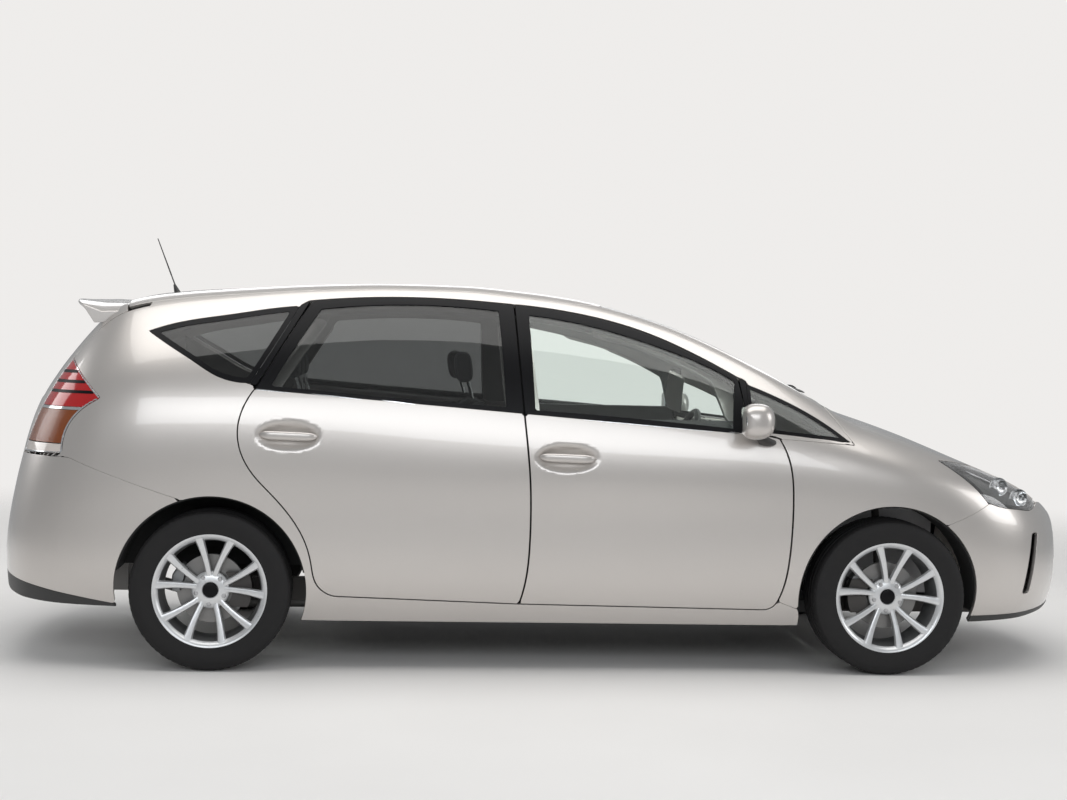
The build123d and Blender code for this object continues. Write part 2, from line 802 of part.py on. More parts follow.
def make_door(runs, window, hinge_x, seam, handle_at):
    with BuildPart() as door:
        add(wall(DOOR_WALL))
        add(from_side(runs, right_only=True), mode=Mode.INTERSECT)
        add(inside_of(DOOR_INNER_Y), mode=Mode.SUBTRACT)
        add(from_top(roof_outline(), SHUT_GAP), mode=Mode.SUBTRACT)
        add(swing_reach(hinge_x, seam), mode=Mode.INTERSECT)
        add(from_side(window), mode=Mode.SUBTRACT)
        add(arches(WELL_RADIUS, 6), mode=Mode.SUBTRACT)
        add(handle(*handle_at))
        add(hinge_pockets(hinge_x), mode=Mode.SUBTRACT)
    return door.part


def make_pane(window):
    with BuildPart() as pane:
        add(wall(GLASS_SET + GLASS_THICKNESS, GLASS_SET))
        add(from_side(window, right_only=True), mode=Mode.INTERSECT)
    return pane.part


HANDLE_LENGTH = 226.0
HANDLE_HEIGHT = 34.0
FRONT_HANDLE = (14, 880)
REAR_HANDLE = (-1106, 950)

os.makedirs("parts", exist_ok=True)

# Wheels and tyres
tyre = make_tyre()
wheel = make_wheel()
CORNERS = {
    "front_right": (FRONT_AXLE_X, -WHEEL_Y),
    "front_left": (FRONT_AXLE_X, WHEEL_Y),
    "rear_right": (REAR_AXLE_X, -WHEEL_Y),
    "rear_left": (REAR_AXLE_X, WHEEL_Y),
}
for corner, (x, y) in CORNERS.items():
    finish(f"{corner}_tyre", placed(tyre, x, y))
    finish(f"{corner}_wheel", placed(wheel, x, y))

# Doors and their glass
REAR_DOOR_SEAM = shifted(REAR_DOOR_TAIL, 0) + [(-1120, 1345), (-1030, 1494)]
front_door = make_door(front_door_outline(), front_door_window(), FRONT_HINGE_X,
                       shifted(DOOR_SEAM, SHUT_GAP / 2), FRONT_HANDLE)
rear_door = make_door(rear_door_outline(), rear_door_window(), REAR_HINGE_X, REAR_DOOR_SEAM,
                      REAR_HANDLE)
front_pane = make_pane(front_door_window())
rear_pane = make_pane(rear_door_window())
for name, part in (("front_right_door", front_door), ("rear_right_door", rear_door),
                   ("front_right_door_glass", front_pane), ("rear_right_door_glass", rear_pane)):
    finish(name, part)
    finish(name.replace("right", "left"), other_side(part))

# Roof and glass, with the fixed half of the tailgate's hinges in the roof's rear edge
tail_x, tail_z = TAILGATE_HINGE
EAR_INNER = TAILGATE_ARM_HALF + 1


def tailgate_arm(y):
    """The roof's arm with its pin."""
    with BuildPart() as arm:
        add(block(tail_x - TAILGATE_PIN_RADIUS, tail_x + 20, y - TAILGATE_ARM_HALF, y + TAILGATE_ARM_HALF,
                  tail_z - TAILGATE_PIN_RADIUS, tail_z + TAILGATE_PIN_RADIUS))
        add(across(tail_x, tail_z, TAILGATE_PIN_RADIUS, y - TAILGATE_PIN_HALF, y + TAILGATE_PIN_HALF))
    return arm.part


def tailgate_ear(y):
    """The tailgate's two ears on the pin."""
    with BuildPart() as ears:
        for near, far in ((y - TAILGATE_PIN_HALF, y - EAR_INNER), (y + EAR_INNER, y + TAILGATE_PIN_HALF)):
            add(across(tail_x, tail_z, TAILGATE_EAR_RADIUS, near, far))
            add(block(tail_x - 20, tail_x, near, far, tail_z - TAILGATE_EAR_RADIUS, tail_z + 2))
        add(across(tail_x, tail_z, TAILGATE_PIN_RADIUS + PIN_GAP, -FAR, FAR), mode=Mode.SUBTRACT)
    return ears.part


def tailgate_arm_room(y):
    """What the arm and pin need cut out of the tailgate."""
    with BuildPart() as room:
        add(block(tail_x - 14, tail_x, y - EAR_INNER, y + EAR_INNER, tail_z - 60, tail_z + 60))
        add(across(tail_x, tail_z, TAILGATE_PIN_RADIUS + PIN_GAP, y - 40, y + 40))
    return room.part


def tailgate_ear_room(y):
    """What the ears need cut out of the roof's rear edge."""
    return block(tail_x, tail_x + TAILGATE_EAR_RADIUS + 6, y - TAILGATE_PIN_HALF - 6,
                 y + TAILGATE_PIN_HALF + 6, 1000, FAR)


def tailgate_hinges(piece):
    """One piece of the hinge at both its places."""
    with BuildPart() as both:
        add(piece(TAILGATE_HINGE_Y))
        add(piece(-TAILGATE_HINGE_Y))
    return both.part


with BuildPart() as roof_panel:
    add(wall(ROOF_WALL))
    add(from_top(roof_outline()), mode=Mode.INTERSECT)
    add(block(-FAR, FAR, -FAR, FAR, 0, 900), mode=Mode.SUBTRACT)
    add(tailgate_hinges(tailgate_ear_room), mode=Mode.SUBTRACT)
    add(tailgate_hinges(tailgate_arm))
finish("roof_panel", roof_panel.part)

with BuildPart() as windscreen:
    add(wall(GLASS_SET + GLASS_THICKNESS, GLASS_SET))
    add(from_top(screen_outline()), mode=Mode.INTERSECT)
    add(block(-FAR, FAR, -FAR, FAR, 0, 900), mode=Mode.SUBTRACT)
finish("windscreen", windscreen.part)

with BuildPart() as quarter_windows:
    for window in (front_quarter_window(), rear_quarter_window()):
        add(make_pane(window))
finish("quarter_windows", both_sides(quarter_windows.part))

# Bonnet, on two pins at its rear corners
BONNET_REACH = 1136.0
hinge_x, hinge_z = BONNET_HINGE
with BuildPart() as lamp_room:
    add(from_side(headlamp_outline(), SHUT_GAP))
    add(inside_of(LAMP_INNER_Y), mode=Mode.SUBTRACT)

with BuildPart() as bonnet_lugs:
    with BuildSketch(Plane.XZ.offset(-BONNET_LUG_Y - BONNET_LUG)):
        with BuildLine():
            Polyline((hinge_x, hinge_z - 9), (hinge_x + 110, hinge_z - 50), (hinge_x + 120, hinge_z - 20),
                     (hinge_x, hinge_z + 9), (hinge_x, hinge_z - 9))
        make_face()
    extrude(amount=BONNET_LUG)
    add(across(hinge_x, hinge_z, 9, BONNET_LUG_Y, BONNET_LUG_Y + BONNET_LUG))
    add(volume(4), mode=Mode.INTERSECT)
    mirror(about=Plane.XZ)

with BuildPart() as bonnet:
    add(wall(BONNET_WALL))
    add(from_top(bonnet_outline()), mode=Mode.INTERSECT)
    add(across(hinge_x, hinge_z, BONNET_REACH, -FAR, FAR), mode=Mode.INTERSECT)
    add(block(-FAR, FAR, -FAR, FAR, 0, 600), mode=Mode.SUBTRACT)
    add(lamp_room.part, mode=Mode.SUBTRACT)
    add(bonnet_lugs.part)
    add(across(hinge_x, hinge_z, BONNET_PIN_RADIUS + PIN_GAP, -FAR, FAR), mode=Mode.SUBTRACT)
finish("bonnet", bonnet.part)

with BuildPart() as cowl:
    add(wall(ROOF_WALL))
    add(from_top(cowl_outline(), -SEAM), mode=Mode.INTERSECT)
    add(block(-FAR, FAR, -560, 560, 900, FAR), mode=Mode.INTERSECT)
    add(from_top(bonnet_outline(), SHUT_GAP), mode=Mode.SUBTRACT)
finish("cowl", cowl.part)

# Front wings, bumper, grille and lamps
with BuildPart() as bonnet_room:
    add(from_top(bonnet_outline(), SHUT_GAP))
    add(across(hinge_x, hinge_z, BONNET_REACH + SHUT_GAP, -FAR, FAR), mode=Mode.INTERSECT)
    add(block(-FAR, FAR, -FAR, FAR, 0, 640), mode=Mode.SUBTRACT)

with BuildPart() as headlamps:
    add(wall(LAMP_WALL))
    add(from_side(headlamp_outline()), mode=Mode.INTERSECT)
    add(inside_of(LAMP_INNER_Y), mode=Mode.SUBTRACT)
finish("headlamps", headlamps.part)

with BuildPart() as fender:
    add(outboard(FENDER_WALL, 500))
    add(from_side(fender_outline()), mode=Mode.INTERSECT)
    add(bonnet_room.part, mode=Mode.SUBTRACT)
    add(from_side(headlamp_outline(), SEAM), mode=Mode.SUBTRACT)
    add(from_side(front_bumper_outline(), SEAM), mode=Mode.SUBTRACT)
    add(arches(WELL_RADIUS), mode=Mode.SUBTRACT)
finish("front_fenders", both_sides(largest(fender.part)))

GRILLE = [[(0, 455), (250, 452), (440, 440)], [(440, 440), (400, 330)], [(400, 330), (0, 318)]]
UPPER_GRILLE = [[(0, 674), (420, 676)], [(420, 676), (420, 650)], [(420, 650), (0, 646)]]
with BuildPart() as grille_holes:
    for hole in (GRILLE, UPPER_GRILLE):
        add(from_back(with_other_half(*hole), 1950, 2400))

with BuildPart() as grille:
    add(wall(BUMPER_WALL))
    add(grille_holes.part, mode=Mode.INTERSECT)
    add(bonnet_room.part, mode=Mode.SUBTRACT)
finish("grille", grille.part)

with BuildPart() as front_bumper:
    add(wall(BUMPER_WALL))
    add(from_side(front_bumper_outline()), mode=Mode.INTERSECT)
    add(bonnet_room.part, mode=Mode.SUBTRACT)
    add(from_side(headlamp_outline(), SEAM), mode=Mode.SUBTRACT)
    for hole in (GRILLE, UPPER_GRILLE):
        add(from_back(with_other_half(*hole), 1950, 2400, SEAM), mode=Mode.SUBTRACT)
    add(arches(WELL_RADIUS), mode=Mode.SUBTRACT)
    add(block(-FAR, 1940, -460, 460, 0, 400), mode=Mode.SUBTRACT)
finish("front_bumper", front_bumper.part)

# Tailgate, with two ears on each of the roof's two hinge pins
with BuildPart() as tailgate:
    add(wall(TAILGATE_WALL))
    add(from_back(tailgate_outline(), -FAR, tail_x - SHUT_GAP), mode=Mode.INTERSECT)
    add(from_back(rear_window_outline(), -FAR, tail_x), mode=Mode.SUBTRACT)
    add(tailgate_hinges(tailgate_ear))
    add(tailgate_hinges(tailgate_arm_room), mode=Mode.SUBTRACT)
finish("tailgate", tailgate.part)

with BuildPart() as tailgate_glass:
    add(wall(GLASS_SET + GLASS_THICKNESS, GLASS_SET))
    add(from_back(rear_window_outline(), -FAR, tail_x - SHUT_GAP), mode=Mode.INTERSECT)
finish("tailgate_glass", tailgate_glass.part)

SPOILER_TIP = (-2056, 1486)
SPOILER_HALF = 536.0
with BuildPart() as rear_spoiler:
    for y in (-SPOILER_HALF, -300, 0, 300, SPOILER_HALF):
        drop = skin_z(-1830, 0) - skin_z(-1830, abs(y))
        tuck = 60 * (y / SPOILER_HALF) ** 2
        with BuildSketch(Plane.XZ.offset(-y)):
            with BuildLine():
                Spline((-1822, 1506 - drop), (-1930, 1504 - drop), (SPOILER_TIP[0] + tuck, 1488 - drop))
                Line((SPOILER_TIP[0] + tuck, 1488 - drop), (SPOILER_TIP[0] + tuck, 1476 - drop))
                Spline((SPOILER_TIP[0] + tuck, 1476 - drop), (-1965, 1458 - drop), (-1880, 1400 - drop))
                Line((-1880, 1400 - drop), (-1822, 1506 - drop))
            make_face()
    loft()
    add(volume(), mode=Mode.SUBTRACT)
finish("rear_spoiler", largest(rear_spoiler.part))

with BuildPart() as tail_lamps:
    add(wall(LAMP_WALL))
    add(from_side(tail_lamp_outline()), mode=Mode.INTERSECT)
    add(from_back(tailgate_outline(), -FAR, tail_x, SHUT_GAP), mode=Mode.SUBTRACT)
finish("tail_lamps", tail_lamps.part)

with BuildPart() as rear_bumper:
    add(wall(BUMPER_WALL))
    add(from_side(rear_bumper_outline()), mode=Mode.INTERSECT)
    add(from_back(tailgate_outline(), -FAR, tail_x, SHUT_GAP), mode=Mode.SUBTRACT)
    add(from_side(tail_lamp_outline(), SEAM), mode=Mode.SUBTRACT)
    add(arches(WELL_RADIUS), mode=Mode.SUBTRACT)
    add(block(-2150, FAR, -450, 450, 0, 400), mode=Mode.SUBTRACT)
    add(block(FLOOR_REAR_X, FAR, -620, 620, 0, 400), mode=Mode.SUBTRACT)
finish("rear_bumper", rear_bumper.part)

# Body sides: sills, pillars, roof rails and rear quarters
with BuildPart() as door_rooms:
    for runs in (front_door_outline(), rear_door_outline()):
        add(from_side(runs, SHUT_GAP, right_only=True))
    add(volume(POCKET_WALL), mode=Mode.SUBTRACT)
    add(inside_of(DOOR_INNER_Y - SHUT_GAP), mode=Mode.SUBTRACT)

with BuildPart() as fender_room:
    add(from_side(fender_outline(), SEAM, right_only=True))
    add(volume(FENDER_WALL + SEAM), mode=Mode.SUBTRACT)

with BuildPart() as body_side:
    add(outboard(PILLAR_WALL, 500))
    add(block(-FAR, FAR, -SILL_INNER_Y, 0, 0, 700), mode=Mode.SUBTRACT)
    add(from_side(cabin_side_outline()), mode=Mode.INTERSECT)
    add(from_top(roof_outline(), SEAM), mode=Mode.SUBTRACT)
    add(from_top(screen_outline()), mode=Mode.SUBTRACT)
    add(from_top(cowl_outline()), mode=Mode.SUBTRACT)
    add(bonnet_room.part, mode=Mode.SUBTRACT)
    add(from_back(tailgate_outline(), -FAR, tail_x + SHUT_GAP, SHUT_GAP), mode=Mode.SUBTRACT)
    add(from_side(rear_bumper_outline(), SEAM), mode=Mode.SUBTRACT)
    add(from_side(tail_lamp_outline(), SEAM), mode=Mode.SUBTRACT)
    add(door_rooms.part, mode=Mode.SUBTRACT)
    for opening in (front_aperture(), rear_aperture(), front_quarter_window(), rear_quarter_window()):
        add(from_side(opening), mode=Mode.SUBTRACT)
    add(fender_room.part, mode=Mode.SUBTRACT)
    add(arches(WELL_RADIUS), mode=Mode.SUBTRACT)
    for hinge in (FRONT_HINGE_X, REAR_HINGE_X):
        add(hinge_arms(hinge))
    add(across(hinge_x, hinge_z, BONNET_PIN_RADIUS, -BONNET_PIN_Y[1], -BONNET_PIN_Y[0]))
    for x in JACK_X:
        add(block(x - JACK_PAD[0] / 2, x + JACK_PAD[0] / 2, -JACK_Y - JACK_PAD[1] / 2,
                  -JACK_Y + JACK_PAD[1] / 2, JACK_Z, JACK_Z + 20))

# Fuel flap, in the left rear quarter
FLAP = (-1562.0, 930.0, 145.0, 144.0)
FLAP_WALL = 8.0
FLAP_PIN_RADIUS = 1.5
flap_x, flap_z, flap_length, flap_height = FLAP
flap_hinge_x = flap_x + flap_length / 2 + 4
flap_hinge_y = skin_y(flap_hinge_x, flap_z - 30) - 4


def rounded_box(length, height, grow, y0, y1):
    """The flap's rounded outline, from y0 to y1."""
    with BuildPart() as box:
        with BuildSketch(Plane.XZ.offset(-y1)):
            with Locations((flap_x, flap_z)):
                RectangleRounded(length + 2 * grow, height + 2 * grow, 30)
        extrude(amount=y1 - y0)
    return box.part


with BuildPart() as flap_room:
    add(rounded_box(flap_length, flap_height, SHUT_GAP, 700, 1000))
    add(block(flap_hinge_x - 10, flap_hinge_x + 10, 700, 1000, flap_z - 60, flap_z + 60))
    add(volume(60), mode=Mode.SUBTRACT)

with BuildPart() as body_sides:
    add(both_sides(largest(body_side.part)))
    add(flap_room.part, mode=Mode.SUBTRACT)
    add(upright(flap_hinge_x, flap_hinge_y, FLAP_PIN_RADIUS, flap_z - 70, flap_z + 70))
finish("body_sides", body_sides.part)

with BuildPart() as fuel_flap:
    add(rounded_box(flap_length, flap_height, 0, 700, 1000))
    add(volume(), mode=Mode.INTERSECT)
    add(volume(FLAP_WALL), mode=Mode.SUBTRACT)
    add(block(flap_hinge_x - 14, flap_hinge_x, flap_hinge_y - 3, flap_hinge_y + 3, flap_z - 40,
              flap_z + 40))
    add(upright(flap_hinge_x, flap_hinge_y, 3, flap_z - 40, flap_z + 40))
    add(upright(flap_hinge_x, flap_hinge_y, FLAP_PIN_RADIUS + PIN_GAP, flap_z - 80, flap_z + 80),
        mode=Mode.SUBTRACT)
finish("fuel_flap", fuel_flap.part)

# Floor, bulkheads, inner wings and strut towers
KINGPIN_Y = WHEEL_Y - KINGPIN_INSET


def kingpin_y(z):
    """How far out the steering axis is at height z."""
    return KINGPIN_Y - (z - TYRE_RADIUS) * sin(radians(KINGPIN_TILT)) / cos(radians(KINGPIN_TILT))


with BuildPart() as floor_base:
    inner = SILL_INNER_Y - SEAM
    add(wall(FLOOR_THICKNESS))
    add(block(KICK_UP_X, FIREWALL_X + SHEET, -inner, inner, 0, 330), mode=Mode.INTERSECT)

with BuildPart() as bulkheads:
    add(block(KICK_UP_X, KICK_UP_X + SHEET, -FAR, FAR, 230, LOAD_FLOOR_Z + SHEET))
    add(block(-2180, KICK_UP_X + SHEET, -FAR, FAR, LOAD_FLOOR_Z, LOAD_FLOOR_Z + SHEET))
    add(block(-2180, -2180 + SHEET, -540, 540, 300, LOAD_FLOOR_Z + SHEET))
    add(block(FIREWALL_X, FIREWALL_X + SHEET, -FAR, FAR, 230, 1030))
    add(volume(PILLAR_WALL + SEAM), mode=Mode.INTERSECT)

with BuildPart() as inner_wings:
    for side in (1, -1):
        near, far = sorted((side * INNER_WING_Y, side * (INNER_WING_Y + 20)))
        add(block(FIREWALL_X, 1900, near, far, SUBFRAME_TOP, 880))
        near, far = sorted((side * INNER_WING_Y, side * 660))
        add(block(FRONT_AXLE_X - 80, FRONT_AXLE_X + 80, near, far, STRUT_TOP, STRUT_TOP + 16))
    add(block(1880, 1900, -INNER_WING_Y, INNER_WING_Y, SUBFRAME_TOP, 690))
    add(volume(80), mode=Mode.INTERSECT)

with BuildPart() as wheel_room:
    add(arches(WELL_RADIUS))
    for side in (-1, 1):
        near, far = sorted((side * 440, side * 700))
        add(block(FRONT_AXLE_X - 90, FRONT_AXLE_X + 90, near, far, 700, FAR), mode=Mode.SUBTRACT)

with BuildPart() as floor_pan:
    add(floor_base.part)
    add(bulkheads.part)
    add(inner_wings.part)
    add(wheel_room.part, mode=Mode.SUBTRACT)
finish("floor_pan", largest(floor_pan.part))

with BuildPart() as wheel_arch_liners:
    for x, inner, cap in ((FRONT_AXLE_X, 664, None), (REAR_AXLE_X, 612, 618)):
        add(across(x, TYRE_RADIUS, WELL_RADIUS - SEAM, inner, 874))
        add(across(x, TYRE_RADIUS, WELL_RADIUS - LINER_WALL, cap or inner, 874), mode=Mode.SUBTRACT)
    add(volume(10), mode=Mode.INTERSECT)
    add(block(-FAR, 0, 0, FAR, 0, 400), mode=Mode.SUBTRACT)
    add(block(0, FAR, 0, FAR, 0, 262), mode=Mode.SUBTRACT)
finish("wheel_arch_liners", both_sides(wheel_arch_liners.part))

# Front subframe with the lower arms
ARM_Z = 212.0
ARM_THICKNESS = 12.0
BALL_RADIUS = 22.0
BALL_TOP = 236.0
with BuildPart() as subframe_half:
    add(block(FIREWALL_X + SHEET + SEAM, 1900, 360, INNER_WING_Y + 18, 202, SUBFRAME_TOP - SEAM))
    add(block(1200, 1300, 0, 400, 202, SUBFRAME_TOP - SEAM))
    add(block(1840, 1900, 0, 400, 202, SUBFRAME_TOP - SEAM))
    ball_y = kingpin_y(ARM_Z)
    with BuildSketch(Plane.XY.offset(ARM_Z)):
        with BuildLine():
            Polyline((1290, 420), (1430, 420), (1390, ball_y), (1354, ball_y), (1290, 420))
        make_face()
    extrude(amount=ARM_THICKNESS)
    ball_z = BALL_TOP - BALL_RADIUS
    with Locations((FRONT_AXLE_X, kingpin_y(ball_z), ball_z)):
        Sphere(BALL_RADIUS)
finish("front_subframe", both_sides(subframe_half.part))

# Knuckles, each with its strut, spring, spindle and brake caliper
CALIPER_GAP = 3.0


def caliper(x, y, behind):
    """A brake caliper of the left side, over the disc's rear or front edge."""
    towards = -1 if behind else 1
    face = y + DISC_INNER
    with BuildPart() as clamp:
        add(across(x, TYRE_RADIUS, DISC_RADIUS + 26, y - 34, y + 46))
        add(across(x, TYRE_RADIUS, 88, y - 40, y + 60), mode=Mode.SUBTRACT)
        add(block(*sorted((x + towards * 60, x + towards * 200)), y - 60, y + 60, TYRE_RADIUS - 70,
                  TYRE_RADIUS + 70), mode=Mode.INTERSECT)
        add(across(x, TYRE_RADIUS, DISC_RADIUS + CALIPER_GAP, face - CALIPER_GAP,
                   face + DISC_THICKNESS + CALIPER_GAP), mode=Mode.SUBTRACT)
    return clamp.part


def spindle(x):
    """The stub axle of the left side."""
    inner = WHEEL_Y + HUB_INNER
    return across(x, TYRE_RADIUS, SPINDLE_RADIUS, inner - 40, inner + SPINDLE_LENGTH - 2)


with BuildPart() as knuckle:
    x = FRONT_AXLE_X
    hub_face = WHEEL_Y + HUB_INNER - 1
    with BuildSketch(Plane.YZ.offset(x - 30)):
        with BuildLine():
            Polyline(
                (hub_face, TYRE_RADIUS - 60), (hub_face, TYRE_RADIUS + 60), (kingpin_y(420) + 20, 430),
                (kingpin_y(420) - 24, 430), (KINGPIN_Y - 24, TYRE_RADIUS),
                (kingpin_y(240) - 24, BALL_TOP + SEAM), (kingpin_y(240) + 18, BALL_TOP + SEAM),
                (hub_face, TYRE_RADIUS - 60),
            )
        make_face()
    extrude(amount=60)
    add(spindle(x))
    add(caliper(x, WHEEL_Y, behind=True))
    add(block(x - 150, x - 20, hub_face - 18, hub_face, TYRE_RADIUS - 40, TYRE_RADIUS + 40))
    lean = Vector(0, -sin(radians(KINGPIN_TILT)), cos(radians(KINGPIN_TILT)))
    foot = Vector(x, kingpin_y(400), 400)
    add(bar(foot, foot + lean * ((STRUT_TOP + 20 - 400) / lean.Z), STRUT_RADIUS))
    seat = Vector(x, kingpin_y(690), 690)
    add(bar(seat, seat + lean * ((STRUT_TOP - 30 - 690) / lean.Z), SPRING_RADIUS))
    add(block(-FAR, FAR, 0, FAR, STRUT_TOP - SEAM, FAR), mode=Mode.SUBTRACT)
finish("front_left_knuckle", knuckle.part)
finish("front_right_knuckle", other_side(knuckle.part))

# Rear axle with its trailing arms and springs
with BuildPart() as rear_half:
    x = REAR_AXLE_X
    add(across(x + 110, 275, 36, 0, 590))
    add(block(x - 50, KICK_UP_X - SEAM, 552, 600, 250, 345))
    add(block(x - 42, x + 42, 560, hub_face, TYRE_RADIUS - 38, TYRE_RADIUS + 38))
    add(spindle(x))
    add(caliper(x, WHEEL_Y, behind=False))
    add(block(x + 20, x + 150, hub_face - 18, hub_face, TYRE_RADIUS - 36, TYRE_RADIUS + 36))
    add(upright(x + 80, 500, SPRING_RADIUS, 270, LOAD_FLOOR_Z - SEAM))
finish("rear_axle", both_sides(rear_half.part))

# Exhaust, engine, seats and dashboard
PIPE_RADIUS = 25.0
PIPE_Y = -120.0
SILENCER_Z = (250.0, 395.0)
pipe_z = along(SILL_LINE, 980, 2) - SEAM - PIPE_RADIUS
with BuildPart() as exhaust:
    bend = (-1400, PIPE_Y, pipe_z)
    add(bar((1100, PIPE_Y, pipe_z), bend, PIPE_RADIUS))
    with Locations(bend):
        Sphere(PIPE_RADIUS)
    add(bar(bend, (-1830, PIPE_Y, SILENCER_Z[0] + 40), PIPE_RADIUS))
    add(block(-2130, -1800, -360, 160, *SILENCER_Z))
    fillet(exhaust.edges().filter_by(Axis.X).group_by(Axis.Z)[-1], 30)
finish("exhaust", exhaust.part)

with BuildPart() as engine:
    add(block(1225, 1690, -400, 340, SUBFRAME_TOP, 820))
    chamfer(engine.edges().filter_by(Axis.X), 20)
finish("engine", engine.part)

SEAT_SIDE = [
    [(250, 400), (296, 450), (286, 515), (230, 545), (60, 532), (-110, 508)],
    [(-110, 508), (-200, 640), (-330, 1080), (-345, 1130)],
    [(-345, 1130), (-430, 1150)],
    [(-430, 1150), (-440, 1120), (-370, 700), (-300, 430)],
    [(-300, 430), (-200, 396), (250, 400)],
]
HEADREST_SIDE = [
    [(-355, 1135), (-352, 1180), (-330, 1240), (-345, 1310), (-400, 1325), (-430, 1290), (-425, 1200),
     (-415, 1135)],
    [(-415, 1135), (-355, 1135)],
]
SEAT_WIDTH = 490.0
DRIVER_Y = 370.0
SEAT_BASE_Z = 262.0


def seat_slice(runs, dx, y0, y1):
    """Part of a seat with this side outline, between y0 and y1."""
    with BuildPart() as slab:
        with BuildSketch(Plane.XZ.offset(-y1)):
            add(outline([shifted(run, dx) for run in runs]))
        extrude(amount=y1 - y0)
    return slab.part


def floor_top(x):
    """Just above the floor at x."""
    return along(SILL_LINE, x, 2) + FLOOR_THICKNESS + SEAM


with BuildPart() as front_seat:
    add(seat_slice(SEAT_SIDE, 0, DRIVER_Y - SEAT_WIDTH / 2, DRIVER_Y + SEAT_WIDTH / 2))
    add(seat_slice(HEADREST_SIDE, 0, DRIVER_Y - 130, DRIVER_Y + 130))
    add(block(-240, 200, DRIVER_Y - 190, DRIVER_Y + 190, floor_top(-240), 405))
finish("front_seats", both_sides(front_seat.part))

BENCH_SHIFT = -735.0
BENCH_HALF = 600.0
with BuildPart() as rear_seats:
    add(seat_slice(SEAT_SIDE, BENCH_SHIFT, -BENCH_HALF, BENCH_HALF))
    for y in (-390, 0, 390):
        add(seat_slice(HEADREST_SIDE, BENCH_SHIFT, y - 120, y + 120))
    add(block(-620, KICK_UP_X + SHEET + SEAM, -560, 560, floor_top(-800), 405))
    add(block(-FAR, KICK_UP_X + SHEET + SEAM, -FAR, FAR, 0, LOAD_FLOOR_Z + SHEET + SEAM),
        mode=Mode.SUBTRACT)
finish("rear_seats", rear_seats.part)

WHEEL_CENTRE = Vector(560, -DRIVER_Y, 905)
COLUMN_TILT = 25.0
column = Vector(cos(radians(COLUMN_TILT)), 0, -sin(radians(COLUMN_TILT)))
SHROUD_START = 90.0
SHROUD_RADIUS = 45.0
DASH = [
    [(1149.7, 940), (1149.7, 600)],
    [(1149.7, 600), (940, 540), (800, 600), (735, 740), (740, 850), (800, 930)],
    [(800, 930), (960, 968), (1149.7, 940)],
]
with BuildPart() as dashboard:
    add(from_side(DASH))
    add(block(-260, 950, -110, 110, floor_top(-260), 560))
    add(volume(PILLAR_WALL + SEAM), mode=Mode.INTERSECT)
    add(arches(WELL_RADIUS, SHUT_GAP), mode=Mode.SUBTRACT)
    add(bar(WHEEL_CENTRE + column * SHROUD_START, WHEEL_CENTRE + column * 300, SHROUD_RADIUS))
finish("dashboard", dashboard.part)

with BuildPart() as steering_wheel:
    rim_plane = Plane(WHEEL_CENTRE, x_dir=(0, 1, 0), z_dir=column)
    with BuildSketch(Plane(rim_plane.origin, x_dir=(0, 1, 0), z_dir=rim_plane.y_dir)):
        with Locations((STEERING_WHEEL_RADIUS - 15, 0)):
            Circle(15)
    revolve(axis=Axis(WHEEL_CENTRE, column))
    with BuildSketch(rim_plane):
        Circle(62)
        for angle in (0, 180, 90 if rim_plane.y_dir.Z < 0 else 270):
            with Locations(Rot(0, 0, angle) * Pos(STEERING_WHEEL_RADIUS / 2, 0)):
                Rectangle(STEERING_WHEEL_RADIUS - 24, 34)
    extrude(amount=16, both=True)
    with BuildSketch(rim_plane):
        Circle(26)
    extrude(amount=SHROUD_START - SEAM)
finish("steering_wheel", steering_wheel.part)

# Mirrors, wipers and aerial
MIRROR_TIP = 1052.0
with BuildPart() as mirror_right:
    for y, x, z, wide, high in ((905, 772, 1042, 92, 116), (950, 762, 1050, 128, 146),
                                (1010, 754, 1054, 126, 140), (MIRROR_TIP, 742, 1050, 70, 92)):
        with BuildSketch(Plane.XZ.offset(y)):
            with Locations((x, z)):
                Ellipse(wide / 2, high / 2)
    loft()
    with BuildSketch(Plane.XZ.offset(780)):
        with BuildLine():
            Polyline((872, 912), (884, 950), (812, 1010), (760, 1010), (790, 968), (872, 912))
        make_face()
    extrude(amount=170)
    add(volume(), mode=Mode.SUBTRACT)
finish("right_door_mirror", largest(mirror_right.part))
finish("left_door_mirror", other_side(largest(mirror_right.part)))

BLADE_RADIUS = 6.0
ARM_RADIUS = 5.0
POST_RADIUS = 13.0
WIPERS = [
    ((1196, -70), [(1128, -560), (1150, -330), (1166, -90)]),
    ((1136, 500), [(1160, -20), (1160, 250), (1130, 520)]),
]


def on_screen(point, lift):
    """A point of the windscreen's surface, lifted off it."""
    return Vector(point[0], point[1], skin_z(point[0], abs(point[1])) + lift)


with BuildPart() as wipers:
    for pivot, blade in WIPERS:
        with BuildLine() as edge:
            Spline(*[on_screen(point, BLADE_RADIUS + 2) for point in blade])
        with BuildSketch(edge.line ^ 0):
            Circle(BLADE_RADIUS)
        sweep(path=edge.line)
        post = on_screen(pivot, 7)
        add(upright(post.X, post.Y, POST_RADIUS, post.Z, post.Z + 18))
        add(bar(Vector(post.X, post.Y, post.Z + 10), on_screen(blade[1], BLADE_RADIUS + 4), ARM_RADIUS))
finish("wipers", wipers.part)

AERIAL_BASE = Vector(-1655, 0, 1528)
AERIAL_TIP = Vector(-1745, 0, 1768)
with BuildPart() as antenna:
    add(bar(AERIAL_BASE, AERIAL_TIP, 3))
    add(bar(AERIAL_BASE, AERIAL_BASE + (AERIAL_TIP - AERIAL_BASE) * 0.14, 12))
    add(block(-1700, -1620, -22, 22, 1520, 1548))
    add(volume(), mode=Mode.SUBTRACT)
finish("antenna", largest(antenna.part))
